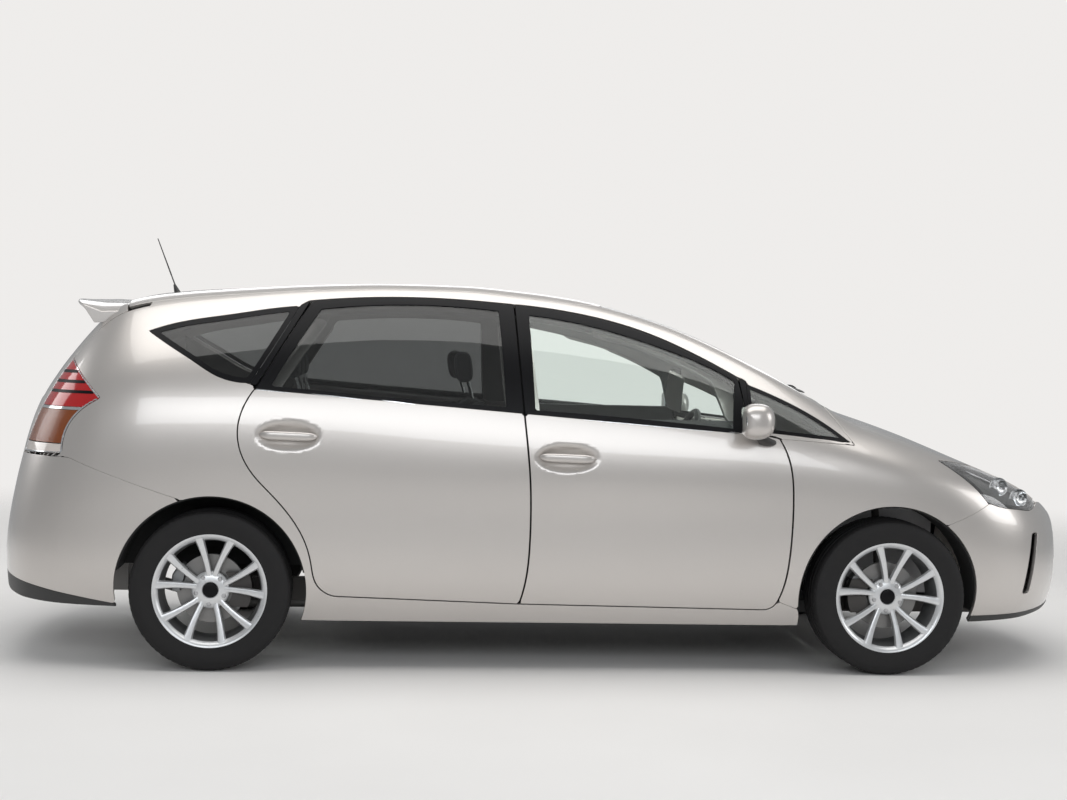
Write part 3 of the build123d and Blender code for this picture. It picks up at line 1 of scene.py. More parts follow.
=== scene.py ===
"""A hybrid estate hatchback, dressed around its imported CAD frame.

The body is worked out in millimetres from a few long lines, and made in metres. Each panel is cut from
that one smooth surface along its shut lines, then given rounded edges, a return flange and a back.
"""

import math

import bmesh
import bpy
import numpy as np
from mathutils import Matrix, Vector


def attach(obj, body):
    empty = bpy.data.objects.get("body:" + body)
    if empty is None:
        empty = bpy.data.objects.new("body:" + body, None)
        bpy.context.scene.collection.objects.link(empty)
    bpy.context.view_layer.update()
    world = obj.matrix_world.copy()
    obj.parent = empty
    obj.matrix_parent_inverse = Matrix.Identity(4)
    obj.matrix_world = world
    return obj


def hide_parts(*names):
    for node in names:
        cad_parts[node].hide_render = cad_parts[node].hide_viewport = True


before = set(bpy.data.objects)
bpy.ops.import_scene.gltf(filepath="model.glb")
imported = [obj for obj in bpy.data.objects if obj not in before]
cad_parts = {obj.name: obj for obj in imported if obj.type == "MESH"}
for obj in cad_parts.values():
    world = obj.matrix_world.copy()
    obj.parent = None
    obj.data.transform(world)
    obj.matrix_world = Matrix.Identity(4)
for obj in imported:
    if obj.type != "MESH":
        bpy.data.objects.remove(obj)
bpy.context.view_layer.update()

MM = 0.001
HALF_LENGTH = 2322.0
FRONT_AXLE = 1372.0
REAR_AXLE = -1408.0
WHEEL_Y = 765.0
WHEEL_Z = 323.4
GRID = 16.0
NOSE_ROWS = 118.0
WELL_RADIUS = 382.0
ROOF_END = -1790.0

# ---------------------------------------------------------------- long lines of the body, tail to nose

SILL_LINE = [
    (-2322, 150, 345), (-2295, 380, 300), (-2240, 560, 275), (-2150, 680, 262), (-1990, 770, 255),
    (-1780, 800, 250), (-1400, 800, 225), (-1000, 795, 200), (0, 795, 198), (980, 795, 196),
    (1372, 800, 205), (1750, 770, 215), (1950, 700, 218), (2100, 560, 222), (2230, 370, 230),
    (2300, 210, 250), (2322, 110, 290),
]
WAIST_LINE = [
    (-2322, 200, 430), (-2310, 320, 450), (-2290, 440, 470), (-2255, 560, 500), (-2200, 670, 540),
    (-2120, 755, 570), (-2000, 820, 600), (-1850, 855, 620), (-1650, 876, 640), (-1408, 885, 660),
    (-1000, 882, 650), (0, 880, 640), (1000, 883, 640), (1372, 887, 640), (1600, 874, 620),
    (1750, 850, 590), (1850, 822, 570), (1950, 776, 550), (2025, 722, 530), (2100, 648, 510),
    (2170, 556, 490), (2230, 456, 470), (2275, 356, 440), (2305, 256, 420), (2322, 150, 390),
]
BELT_LINE = [
    (-2322, 130, 525), (-2310, 240, 560), (-2290, 330, 610), (-2260, 430, 690), (-2220, 520, 800),
    (-2170, 600, 900), (-2100, 675, 990), (-2000, 745, 1075), (-1850, 800, 1140),
    (-1650, 832, 1165), (-1400, 846, 1165), (-926, 850, 1132), (-500, 852, 1092),
    (-100, 854, 1064), (300, 856, 1036), (700, 857, 1002), (1100, 850, 958), (1372, 836, 912),
    (1560, 812, 870), (1700, 784, 832), (1850, 732, 788), (1950, 682, 756), (2025, 628, 728),
    (2100, 556, 700), (2170, 470, 672), (2230, 380, 640), (2275, 290, 604), (2305, 200, 558),
    (2322, 115, 470),
]
CANT_LINE = [
    (-2322, 90, 545), (-2310, 165, 585), (-2290, 225, 640), (-2260, 280, 730), (-2222, 330, 870),
    (-2205, 360, 950), (-2170, 400, 1045), (-2100, 445, 1155), (-2049, 475, 1220),
    (-1960, 505, 1325), (-1879, 525, 1405), (-1800, 540, 1448), (-1650, 555, 1478),
    (-1359, 572, 1507), (-1026, 585, 1530), (-700, 590, 1541), (-400, 588, 1538),
    (-200, 583, 1524), (68, 585, 1496), (250, 598, 1460), (463, 618, 1402), (673, 645, 1320),
    (840, 668, 1243), (1000, 684, 1162), (1100, 690, 1108), (1250, 684, 1030), (1400, 664, 985),
    (1563, 640, 935), (1700, 616, 888), (1850, 572, 838), (1950, 528, 802), (2050, 468, 758),
    (2130, 396, 718), (2200, 316, 674), (2250, 248, 636), (2290, 182, 590), (2312, 130, 540),
    (2322, 85, 485),
]
CREST_LINE = [
    (-2322, 550), (-2310, 592), (-2290, 650), (-2260, 745), (-2235, 840), (-2222, 905),
    (-2205, 1000), (-2170, 1105), (-2100, 1222), (-2000, 1342), (-1900, 1440), (-1850, 1482),
    (-1800, 1505), (-1650, 1533), (-1330, 1558), (-980, 1572), (-667, 1575), (-351, 1570),
    (-123, 1554), (106, 1519), (338, 1462), (570, 1385), (805, 1288), (995, 1203), (1090, 1158),
    (1200, 1107), (1270, 1078), (1400, 1036), (1563, 980), (1658, 943), (1849, 864), (1945, 825),
    (2050, 780), (2130, 738), (2200, 690), (2250, 650), (2290, 602), (2312, 552), (2322, 495),
]
STATIONS = [
    -2322, -2312, -2292, -2262, -2222, -2170, -2100, -2010, -1900, -1800, -1650, -1400, -1050,
    -650, -250, 100, 400, 700, 950, 1150, 1350, 1550, 1750, 1900, 2025, 2120, 2190, 2245, 2285,
    2310, 2322,
]

# ---------------------------------------------------------------- curves


def pchip(line, column, x):
    """One column of a long line at x, without overshoot."""
    xs = np.array([point[0] for point in line], float)
    ys = np.array([point[column] for point in line], float)
    step = np.diff(xs)
    rise = np.diff(ys) / step
    slope = np.r_[rise[0], np.zeros(len(xs) - 2), rise[-1]]
    before, after = 2 * step[1:] + step[:-1], step[1:] + 2 * step[:-1]
    same = rise[:-1] * rise[1:] > 0
    with np.errstate(divide="ignore", invalid="ignore"):
        inner = (before + after) / (before / rise[:-1] + after / rise[1:])
    slope[1:-1] = np.where(same, inner, 0.0)
    x = np.clip(x, xs[0], xs[-1])
    i = np.clip(np.searchsorted(xs, x, side="right") - 1, 0, len(xs) - 2)
    t = (x - xs[i]) / step[i]
    return (
        ys[i] * (2 * t**3 - 3 * t * t + 1)
        + slope[i] * step[i] * (t**3 - 2 * t * t + t)
        + ys[i + 1] * (3 * t * t - 2 * t**3)
        + slope[i + 1] * step[i] * (t**3 - t * t)
    )


DENSE_X = np.linspace(-HALF_LENGTH, HALF_LENGTH, 1549)


def faired(line, column):
    """The long line sampled close together and faired along the middle of the car."""
    raw = pchip(line, column, DENSE_X)
    reach = np.arange(-24, 25)
    kernel = np.exp(-0.5 * (reach / 9.0) ** 2)
    kernel /= kernel.sum()
    padded = np.r_[2 * raw[0] - raw[24:0:-1], raw, 2 * raw[-1] - raw[-2:-26:-1]]
    soft = np.convolve(padded, kernel, mode="valid")
    keep = np.clip((np.abs(DENSE_X) - 1950) / 200, 0, 1)
    return raw * keep + soft * (1 - keep)


FAIRED = {
    (name, column): faired(line, column)
    for name, line, columns in (
        ("sill", SILL_LINE, (1, 2)), ("waist", WAIST_LINE, (1, 2)), ("belt", BELT_LINE, (1, 2)),
        ("cant", CANT_LINE, (1, 2)), ("crest", CREST_LINE, (1,)),
    )
    for column in columns
}


def along(name, column, x):
    return np.interp(x, DENSE_X, FAIRED[name, column])


def end_slope(knots):
    """Weights that give the slope at the first knot, from the polynomial through the first few."""
    count = min(4, len(knots))
    powers = np.vander(knots[:count] - knots[0], count, increasing=True)
    slope = np.zeros(count)
    slope[1] = 1
    return np.linalg.solve(powers.T, slope)


def spline_weights(knots, at):
    """Weights that turn values at the knots into a smooth curve's values at other places."""
    knots, at = np.asarray(knots, float), np.asarray(at, float)
    n = len(knots)
    h = np.diff(knots)
    a, b = np.zeros((n, n)), np.zeros((n, n))
    for i in range(1, n - 1):
        a[i, i - 1:i + 2] = h[i - 1], 2 * (h[i - 1] + h[i]), h[i]
        b[i, i - 1:i + 2] = 6 / h[i - 1], -6 / h[i - 1] - 6 / h[i], 6 / h[i]
    first, last = end_slope(knots), -end_slope(-knots[::-1])[::-1]
    a[0, :2] = 2 * h[0], h[0]
    b[0, :2] = -6 / h[0], 6 / h[0]
    b[0, :len(first)] -= 6 * first
    a[-1, -2:] = h[-1], 2 * h[-1]
    b[-1, -2:] = 6 / h[-1], -6 / h[-1]
    b[-1, n - len(last):] += 6 * last
    bend = np.linalg.solve(a, b)
    i = np.clip(np.searchsorted(knots, at, side="right") - 1, 0, n - 2)
    left = (knots[i + 1] - at) / h[i]
    right = 1 - left
    weights = np.zeros((len(at), n))
    rows = np.arange(len(at))
    weights[rows, i] += left
    weights[rows, i + 1] += right
    weights += ((left**3 - left) * h[i] ** 2 / 6)[:, None] * bend[i]
    weights += ((right**3 - right) * h[i] ** 2 / 6)[:, None] * bend[i + 1]
    return weights


def smooth_run(points, spacing=6.0):
    """Points close together on the smooth curve through these."""
    points = np.asarray(points, float)
    if len(points) == 2:
        return points
    knots = np.r_[0, np.cumsum(np.hypot(*np.diff(points, axis=0).T))]
    at = np.linspace(0, knots[-1], max(4, int(knots[-1] / spacing)))
    return spline_weights(knots, at) @ points


def loop_of(runs):
    """A closed outline's points, without the repeated ends."""
    return np.vstack([smooth_run(run)[:-1] for run in runs])


# ---------------------------------------------------------------- the outer surface


def half_section(x, inset):
    """Control points of the left half at each x, from sill to top: (len(x), 8, 2)."""
    sill_y, sill_z = (along("sill", c, x) for c in (1, 2))
    waist_y, waist_z = (along("waist", c, x) for c in (1, 2))
    belt_y, belt_z = (along("belt", c, x) for c in (1, 2))
    cant_y, cant_z = (along("cant", c, x) for c in (1, 2))
    top = along("crest", 1, x)
    inset = np.minimum(inset, 0.22 * (top - sill_z))
    sill_y, waist_y, belt_y = (np.maximum(y - inset, 0.35 * y) for y in (sill_y, waist_y, belt_y))
    cant_y = np.maximum(cant_y - 0.75 * inset, 0.35 * cant_y)
    sill_z = sill_z + inset
    top = top - 0.75 * inset
    cant_z = cant_z - 0.7 * inset
    belt_z = belt_z - 0.15 * inset
    points = [
        (sill_y, sill_z),
        (sill_y + 0.78 * (waist_y - sill_y), sill_z + 0.42 * (waist_z - sill_z)),
        (waist_y, waist_z),
        (belt_y, belt_z),
        ((belt_y + cant_y) / 2 + 0.08 * (cant_z - belt_z), (belt_z + cant_z) / 2 + 0.08 * (belt_y - cant_y)),
        (cant_y, cant_z),
        (0.6 * cant_y, cant_z + 0.64 * (top - cant_z)),
        (np.zeros_like(top), top),
    ]
    return np.array(points).transpose(2, 0, 1)


def whole_section(x, inset=0.0):
    """Control points from the right sill over the top to the left sill: (len(x), 15, 2)."""
    left = half_section(np.atleast_1d(np.asarray(x, float)), inset)
    right = left[:, :-1] * np.array([-1, 1])
    return np.concatenate([right, left[:, ::-1]], axis=1)


def section_shares():
    sections = whole_section(np.array(STATIONS, float))
    reach = np.cumsum(np.hypot(*np.diff(sections, axis=1).transpose(2, 0, 1)), axis=1)
    return np.r_[0, (reach / reach[:, -1:]).mean(axis=0)]


SHARES = section_shares()


def surface(x, share, inset=0.0):
    """Points of the body at every x and share round the section: (len(x), len(share), 3)."""
    x = np.asarray(x, float)
    yz = np.einsum("sk,xkc->xsc", spline_weights(SHARES, share), whole_section(x, inset))
    closing = (1 - np.clip(np.abs(x) - HALF_LENGTH, 0, NOSE_ROWS) / (NOSE_ROWS + 2))[:, None, None]
    middle = yz[:, :1] * np.array([0.0, 1.0])
    yz = middle + (yz - middle) * closing
    shorten = (HALF_LENGTH - 0.8 * inset) / HALF_LENGTH
    x = np.clip(x, -HALF_LENGTH, HALF_LENGTH)
    xs = np.broadcast_to((x * shorten)[:, None, None], yz.shape[:2] + (1,))
    return np.concatenate([xs, yz], axis=2)


def even_rows(x0, x1, step):
    """Values of x whose rows are evenly far apart over the curved surface."""
    x = np.linspace(x0, x1, 2000)
    run = np.hypot(np.gradient(along("waist", 1, x), x), np.gradient(along("crest", 1, x), x))
    reach = np.r_[0, np.cumsum(np.hypot(1, 0.75 * (run[1:] + run[:-1]) / 2) * np.diff(x))]
    return np.interp(np.linspace(0, reach[-1], max(3, int(reach[-1] / step))), reach, x)


def skin_y(x, z):
    """Half width of the body at x and height z."""
    points = surface([x], np.linspace(0.5, 1, 200))[0]
    order = np.argsort(points[:, 2])
    return float(np.interp(z, points[order, 2], points[order, 1]))


def skin_z(x, y):
    """Height of the body's top at x and y."""
    points = surface([x], np.linspace(0.5, 0.72, 120))[0]
    return float(np.interp(abs(y), points[:, 1], points[:, 2]))


# ---------------------------------------------------------------- outlines as distances, inside below 0


def polygon_distance(points, loop):
    """Signed distance of points (..., 2) to a closed outline."""
    flat = points.reshape(-1, 2)
    low, high = loop.min(0) - 60, loop.max(0) + 60
    distance = np.full(len(flat), 60.0)
    near = np.flatnonzero(((flat > low) & (flat < high)).all(1))
    start, end = loop, np.roll(loop, -1, axis=0)
    edge = end - start
    length = np.maximum((edge**2).sum(1), 1e-9)
    for part in np.array_split(near, max(1, len(near) // 4000)):
        p = flat[part][:, None]
        t = np.clip(((p - start) * edge).sum(2) / length, 0, 1)
        gap = np.hypot(*(p - start - t[..., None] * edge).transpose(2, 0, 1)).min(1)
        above = (start[:, 1] <= p[..., 1]) != (end[:, 1] <= p[..., 1])
        rise = np.where(edge[:, 1] == 0, 1, edge[:, 1])
        cross = start[:, 0] + (p[..., 1] - start[:, 1]) / rise * edge[:, 0]
        odd = (above & (p[..., 0] < cross)).sum(1) % 2 == 1
        distance[part] = np.where(odd, -gap, gap)
    return distance.reshape(points.shape[:-1])


class Zone:
    """A region of the body, as a distance that is below 0 inside. + joins, & meets, - takes away."""

    def __init__(self, distance):
        self.distance = distance

    def __call__(self, points):
        return self.distance(points)

    def __add__(self, other):
        return Zone(lambda p: np.minimum(self(p), other(p)))

    def __and__(self, other):
        return Zone(lambda p: np.maximum(self(p), other(p)))

    def __sub__(self, other):
        return Zone(lambda p: np.maximum(self(p), -other(p)))

    def grown(self, amount):
        return Zone(lambda p: self(p) - amount)


def from_side(runs):
    loop = loop_of(runs)
    return Zone(lambda p: polygon_distance(p[..., [0, 2]], loop))


def from_top(runs):
    loop = loop_of(runs)
    return Zone(lambda p: polygon_distance(p[..., :2], loop))


def from_back(runs):
    loop = loop_of(runs)
    return Zone(lambda p: polygon_distance(p[..., 1:], loop))


def beyond(axis, value, sign=1):
    """Where a coordinate is past value, upwards for sign 1 and downwards for -1."""
    return Zone(lambda p: sign * (value - p[..., axis]))


def round_about(x, z, radius):
    return Zone(lambda p: np.hypot(p[..., 0] - x, p[..., 2] - z) - radius)


def shifted(points, dx):
    return [(x + dx, z) for x, z in points]


# Shut lines from the side, as (x, z). A door's own edge stands half a gap inside its seam
DOOR_SEAM = [
    (-165, 281), (-142, 383), (-130, 546), (-136, 798), (-151, 951), (-164, 1074), (-180, 1255),
    (-196, 1499),
]
FRONT_DOOR_NOSE = [(900, 300), (916, 345), (939, 486), (945, 730), (925, 887), (888, 973)]
REAR_DOOR_TAIL = [
    (-900, 306), (-945, 318), (-982, 352), (-1006, 438), (-1033, 530), (-1075, 606), (-1161, 710),
    (-1245, 801), (-1295, 897), (-1304, 980), (-1289, 1048), (-1233, 1145),
]
ROOF_SEAM = [
    (-1030, 1494), (-765, 1514), (-504, 1516), (-241, 1502), (68, 1468), (353, 1396), (545, 1315),
    (730, 1218),
]


HALF_GAP = 3.5


def front_door_runs():
    rear = shifted(DOOR_SEAM, HALF_GAP)
    roof = [rear[-1]] + [(x, z) for x, z in ROOF_SEAM if x > rear[-1][0] + 50]
    return [
        rear, roof, [roof[-1], (744, 1123), (752, 1000)], [(752, 1000), FRONT_DOOR_NOSE[-1]],
        FRONT_DOOR_NOSE[::-1], [FRONT_DOOR_NOSE[0], (880, 276), (840, 266)], [(840, 266), rear[0]],
    ]


def rear_door_runs():
    front = shifted(DOOR_SEAM, -HALF_GAP)
    top = [(x, z) for x, z in ROOF_SEAM if x < front[-1][0] - 20]
    return [
        front, [front[-1]] + top[::-1], [top[0], (-1120, 1345), REAR_DOOR_TAIL[-1]],
        REAR_DOOR_TAIL[::-1], [REAR_DOOR_TAIL[0], front[0]],
    ]


FRONT_DOOR = from_side(front_door_runs())
REAR_DOOR = from_side(rear_door_runs())
FRONT_APERTURE = from_side([
    [(-85, 345), (-62, 560), (-80, 951), (-125, 1437)],
    [(-125, 1437), (68, 1402), (353, 1330), (545, 1250), (640, 1200)],
    [(640, 1200), (690, 1040)],
    [(690, 1040), (850, 900), (868, 730), (862, 486), (835, 360)],
    [(835, 360), (-85, 345)],
])
REAR_APERTURE = from_side([
    [(-225, 345), (-205, 560), (-222, 951), (-262, 1437)],
    [(-262, 1437), (-504, 1452), (-765, 1448), (-960, 1432)],
    [(-960, 1432), (-1050, 1290), (-1150, 1130)],
    [(-1150, 1130), (-1215, 1000), (-1190, 860), (-1100, 740), (-1010, 640), (-955, 500), (-930, 380)],
    [(-930, 380), (-225, 345)],
])
FRONT_WINDOW = from_side([
    [(-118, 1072), (290, 1046), (696, 1012)],
    [(696, 1012), (706, 1123), (718, 1203)],
    [(718, 1203), (639, 1247), (445, 1325), (161, 1410), (-137, 1459)],
    [(-137, 1459), (-118, 1072)],
])
REAR_WINDOW = from_side([
    [(-236, 1082), (-700, 1112), (-1180, 1148)],
    [(-1180, 1148), (-1076, 1329), (-992, 1462)],
    [(-992, 1462), (-765, 1484), (-504, 1488), (-262, 1472)],
    [(-262, 1472), (-236, 1082)],
])
REAR_QUARTER = from_side([
    [(-1262, 1158), (-1334, 1162), (-1399, 1182), (-1498, 1240), (-1596, 1300), (-1685, 1356)],
    [(-1685, 1356), (-1560, 1396), (-1359, 1432), (-1197, 1460), (-1080, 1474)],
    [(-1080, 1474), (-1160, 1330), (-1262, 1158)],
])
FRONT_QUARTER = from_side([
    [(768, 1004), (980, 984), (1196, 962)],
    [(1196, 962), (1070, 1054), (933, 1126), (766, 1194)],
    [(766, 1194), (768, 1004)],
])
HEADLAMP = from_side([
    [(1590, 892), (1700, 876), (1840, 838), (1950, 790), (2050, 738), (2096, 706)],
    [(2096, 706), (2060, 682), (1971, 684), (1850, 702), (1790, 722)],
    [(1790, 722), (1736, 782), (1648, 852), (1590, 892)],
])
TAIL_LAMP = from_side([
    [(-2330, 850), (-2003, 862)], [(-2003, 862), (-1997, 929), (-1853, 1084)],
    [(-1853, 1084), (-1998, 1234)], [(-1998, 1234), (-2330, 1250)], [(-2330, 1250), (-2330, 850)],
])
FRONT_BUMPER = from_side([
    [(1600, 150), (1604, 628)], [(1604, 628), (1748, 688), (1800, 716)],
    [(1800, 716), (1971, 684), (2060, 682), (2110, 700)], [(2110, 700), (2180, 690)],
    [(2180, 690), (2400, 690)], [(2400, 690), (2400, 150)], [(2400, 150), (1600, 150)],
])
REAR_BUMPER = from_side([
    [(-1530, 200), (-1530, 690)], [(-1530, 690), (-1751, 762), (-1977, 846)],
    [(-1977, 846), (-2400, 850)], [(-2400, 850), (-2400, 200)], [(-2400, 200), (-1530, 200)],
])
FENDER_NOSE = shifted(FRONT_DOOR_NOSE, 2 * HALF_GAP)
FENDER = from_side([
    FENDER_NOSE, [FENDER_NOSE[-1], (1215, 951)], [(1215, 951), (1100, 1130)],
    [(1100, 1130), (1700, 1130)], [(1700, 1130), (2200, 700)], [(2200, 700), (2200, 250)],
    [(2200, 250), (1300, 150)], [(1300, 150), FENDER_NOSE[0]],
])
CABIN_SIDE = from_side([
    [(1215, 951), (1098, 1128)], [(1098, 1128), (200, 1700)], [(200, 1700), (-2400, 1700)],
    [(-2400, 1700), (-2400, 150)], [(-2400, 150), (1000, 150)], [(1000, 150), (1010, 951)],
    [(1010, 951), (1215, 951)],
])

# Shut lines from above, as (x, y)
BONNET_EDGE = [
    (1120, 664), (1250, 686), (1400, 684), (1563, 668), (1700, 644), (1850, 600), (1950, 556),
    (2050, 494), (2110, 440), (2220, 300),
]
BONNET_REAR = [(1120, 664), (1168, 540), (1232, 290), (1256, 0)]
SCREEN_EDGE = [(176, 536), (463, 574), (700, 607), (900, 631), (1058, 648)]
SCREEN_BASE = [(1058, 648), (1122, 520), (1182, 280), (1204, 0)]
SCREEN_HEAD = [(176, 536), (212, 280), (222, 0)]
ROOF_EDGE = [(-1790, 536), (-1359, 556), (-700, 572), (-200, 566), (68, 560), (176, 536)]


def with_right_half(*runs):
    return list(runs) + [[(x, -y) for x, y in run][::-1] for run in runs[::-1]]


def with_other_half(*runs):
    return list(runs) + [[(-y, z) for y, z in run][::-1] for run in runs[::-1]]


BONNET = from_top(with_right_half(
    BONNET_REAR[::-1], BONNET_EDGE, [BONNET_EDGE[-1], (2330, 300)], [(2330, 300), (2330, 0)]))
SCREEN = from_top(with_right_half(SCREEN_HEAD[::-1], SCREEN_EDGE, SCREEN_BASE))
COWL = from_top(with_right_half(SCREEN_BASE[::-1], [SCREEN_BASE[0], BONNET_REAR[0]], BONNET_REAR))
ROOF = from_top(with_right_half([(-1790, 0), (-1790, 536)], ROOF_EDGE, SCREEN_HEAD))

# Shut lines from behind, as (y, z)
TAILGATE_SIDE = [(566, 1150), (580, 1000), (560, 860), (520, 760)]
TAILGATE = from_back(with_other_half(
    [(0, 1600), (566, 1600)], [(566, 1600), (566, 1150)], TAILGATE_SIDE, [(520, 760), (440, 716)],
    [(440, 716), (0, 712)]))
TAIL_WINDOW = from_back(with_other_half(
    [(0, 1436), (340, 1432), (500, 1418)], [(500, 1418), (500, 1130)],
    [(500, 1130), (480, 1092), (436, 1070)], [(436, 1070), (0, 1062)]))
GRILLE = from_back(with_other_half(
    [(0, 455), (250, 452), (440, 440)], [(440, 440), (400, 330)], [(400, 330), (0, 318)]))
UPPER_GRILLE = from_back(with_other_half(
    [(0, 674), (420, 676)], [(420, 676), (420, 650)], [(420, 650), (0, 646)]))

UPWARD = beyond(2, 900)
WELLS = round_about(FRONT_AXLE, WHEEL_Z, WELL_RADIUS) + round_about(REAR_AXLE, WHEEL_Z, WELL_RADIUS)
BONNET_TOP = BONNET & beyond(2, 640)
BONNET_ZONE = BONNET_TOP & round_about(1098, 1096, 1136)
BONNET_ROOM = (BONNET_TOP & round_about(1098, 1096, 1143)).grown(5)
ROOF_ZONE = ROOF & UPWARD
SCREEN_ZONE = SCREEN & UPWARD
COWL_ZONE = COWL & UPWARD

# ---------------------------------------------------------------- mesh making


def mesh_object(name, verts, faces, material=None, normals=None, smooth=True):
    """A piece from points in millimetres."""
    mesh = bpy.data.meshes.new(name)
    mesh.from_pydata((np.asarray(verts, float) * MM).tolist(), [], faces)
    mesh.update()
    if smooth:
        mesh.shade_smooth()
    if normals is not None:
        mesh.normals_split_custom_set_from_vertices(np.asarray(normals, float).tolist())
    piece = bpy.data.objects.new(name, mesh)
    bpy.context.scene.collection.objects.link(piece)
    if material is not None:
        mesh.materials.append(material)
    return piece


def unit(v):
    return v / np.maximum(np.linalg.norm(v, axis=-1, keepdims=True), 1e-9)


def strip(above, below):
    """Quads between two rings of the same length."""
    return [
        [int(above[k]), int(below[k]), int(below[(k + 1) % len(below)]), int(above[(k + 1) % len(above)])]
        for k in range(len(above))
    ]


def rims(faces):
    """Closed chains of points round the open edges, in the faces' own direction."""
    directed = set()
    for face in faces:
        directed.update(zip(face, face[1:] + face[:1]))
    onward = {a: b for a, b in directed if (b, a) not in directed}
    chains = []
    while onward:
        start = min(onward)
        chain, here = [start], onward.pop(start)
        while here != start and here in onward:
            chain.append(here)
            here = onward.pop(here)
        if len(chain) > 2:
            chains.append(np.array(chain))
    return chains


def normals_of(points):
    along_x, along_s = np.gradient(points, axis=0), np.gradient(points, axis=1)
    return unit(np.cross(along_x, along_s))


def growth(points, distance):
    """The direction on the surface in which the distance grows."""
    pu, pv = np.gradient(points, axis=0), np.gradient(points, axis=1)
    du, dv = np.gradient(distance)
    uu, uv, vv = (pu * pu).sum(-1), (pu * pv).sum(-1), (pv * pv).sum(-1)
    det = np.maximum(uu * vv - uv * uv, 1e-9)
    a, b = (vv * du - uv * dv) / det, (uu * dv - uv * du) / det
    return unit(a[..., None] * pu + b[..., None] * pv)


def trimmed(points, normal, outward, distance, level):
    """The part of a grid where the distance is under level: fields at its points, and its faces."""
    columns = distance.shape[1]
    d = distance - level
    inside = d <= 0
    number = -np.ones(d.shape, int)
    number[inside] = np.arange(inside.sum())
    fields = [points, normal, outward, distance[..., None]]
    kept = [list(field[inside]) for field in fields]
    flat = number.ravel()
    count = inside[:-1, :-1].astype(int) + inside[1:, :-1] + inside[1:, 1:] + inside[:-1, 1:]
    whole = np.argwhere(count == 4)
    corner = whole[:, 0] * columns + whole[:, 1]
    faces = np.stack([flat[corner], flat[corner + columns], flat[corner + columns + 1],
                      flat[corner + 1]], 1).tolist()
    made = {}

    def crossing(a, b):
        key = (min(a, b), max(a, b))
        if key not in made:
            p, q = divmod(key[0], columns), divmod(key[1], columns)
            t = min(max(d[p] / (d[p] - d[q]), 0.02), 0.98)
            made[key] = len(kept[0])
            for store, field in zip(kept, fields):
                store.append(field[p] * (1 - t) + field[q] * t)
        return made[key]

    for i, j in np.argwhere((count > 0) & (count < 4)).tolist():
        here = i * columns + j
        ring = [here, here + columns, here + columns + 1, here + 1]
        face = []
        for a, b in zip(ring, ring[1:] + ring[:1]):
            if flat[a] >= 0:
                face.append(int(flat[a]))
            if (flat[a] >= 0) != (flat[b] >= 0):
                face.append(crossing(a, b))
        if len(face) > 2:
            faces.append(face)
    points, normal, outward, depth = (np.array(field) for field in kept)
    return points, unit(normal), unit(outward), depth[:, 0], faces


def rounded(edge, flange):
    """A rim profile: a small round, then a flange straight down."""
    profile = [(edge * math.sin(a), edge * (1 - math.cos(a))) for a in (0.5, 1.05, math.pi / 2)]
    return profile + [(edge, flange)]


def panel(name, material, x, share, zone, depth=18.0, edge=1.6, taper=0.0, step=GRID, inset=0.0,
          relief=None, side=0, back=True):
    """A closed panel of the body: a rounded edge, a flange and a back, cut out by a zone.

    x and share are the ranges of the grid, step its spacing. side is -1 for the right half only and 1
    for the left half only. taper draws the back in along its edge.
    """
    xs = even_rows(x[0], x[1], step)
    shares = np.linspace(share[0], share[1], max(4, int((share[1] - share[0]) * 4000 / step)))
    grid = surface(xs, shares, inset)
    distance = zone(grid)
    if side:
        distance = np.maximum(distance, -side * grid[..., 1])
    normal = normals_of(grid)
    outward = growth(grid, distance)
    if relief is not None:
        grid = grid + normal * relief(grid)[..., None]
        normal = normals_of(grid)
    points, normals, outward, deep, faces = trimmed(grid, normal, outward, distance, -edge)
    if not faces:
        raise ValueError(f"{name} has no surface")
    verts, norms, polys = [points], [normals], list(faces)
    base = total = len(points)
    if back:
        drawn = taper * np.exp((deep + edge) / 40.0)
        verts.append(points - normals * depth - outward * drawn[:, None])
        norms.append(-normals)
        polys += [[base + k for k in face[::-1]] for face in faces]
        total += base
    for chain in rims(faces):
        p, n, o = points[chain], normals[chain], outward[chain]
        above = chain
        for out, down in rounded(edge, min(depth * 0.5, 9.0)):
            lean = min(1.0, down / edge)
            verts.append(p + o * out - n * down)
            norms.append(unit(n * (1 - lean) + o * lean))
            ring = np.arange(total, total + len(chain))
            total += len(chain)
            polys += strip(above, ring)
            above = ring
        if back:
            polys += strip(above, chain + base)
    return mesh_object(name, np.vstack(verts), polys, material, np.vstack(norms))


def mirrored(piece, name, body=None):
    """The piece's mirror image on the other side of the car."""
    mesh = piece.data.copy()
    mesh.name = name
    normals = np.zeros(len(mesh.loops) * 3, np.float32)
    mesh.loops.foreach_get("normal", normals)
    vertex = np.zeros(len(mesh.loops), np.int32)
    mesh.loops.foreach_get("vertex_index", vertex)
    own = np.zeros((len(mesh.vertices), 3))
    own[vertex] = normals.reshape(-1, 3) * np.array([1, -1, 1])
    flip = Matrix.Scale(-1, 4, Vector((0, 1, 0)))
    mesh.transform(flip @ piece.matrix_world)
    mesh.flip_normals()
    mesh.normals_split_custom_set_from_vertices(own.tolist())
    copy = bpy.data.objects.new(name, mesh)
    bpy.context.scene.collection.objects.link(copy)
    if body:
        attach(copy, body)
    return copy

# ---------------------------------------------------------------- materials


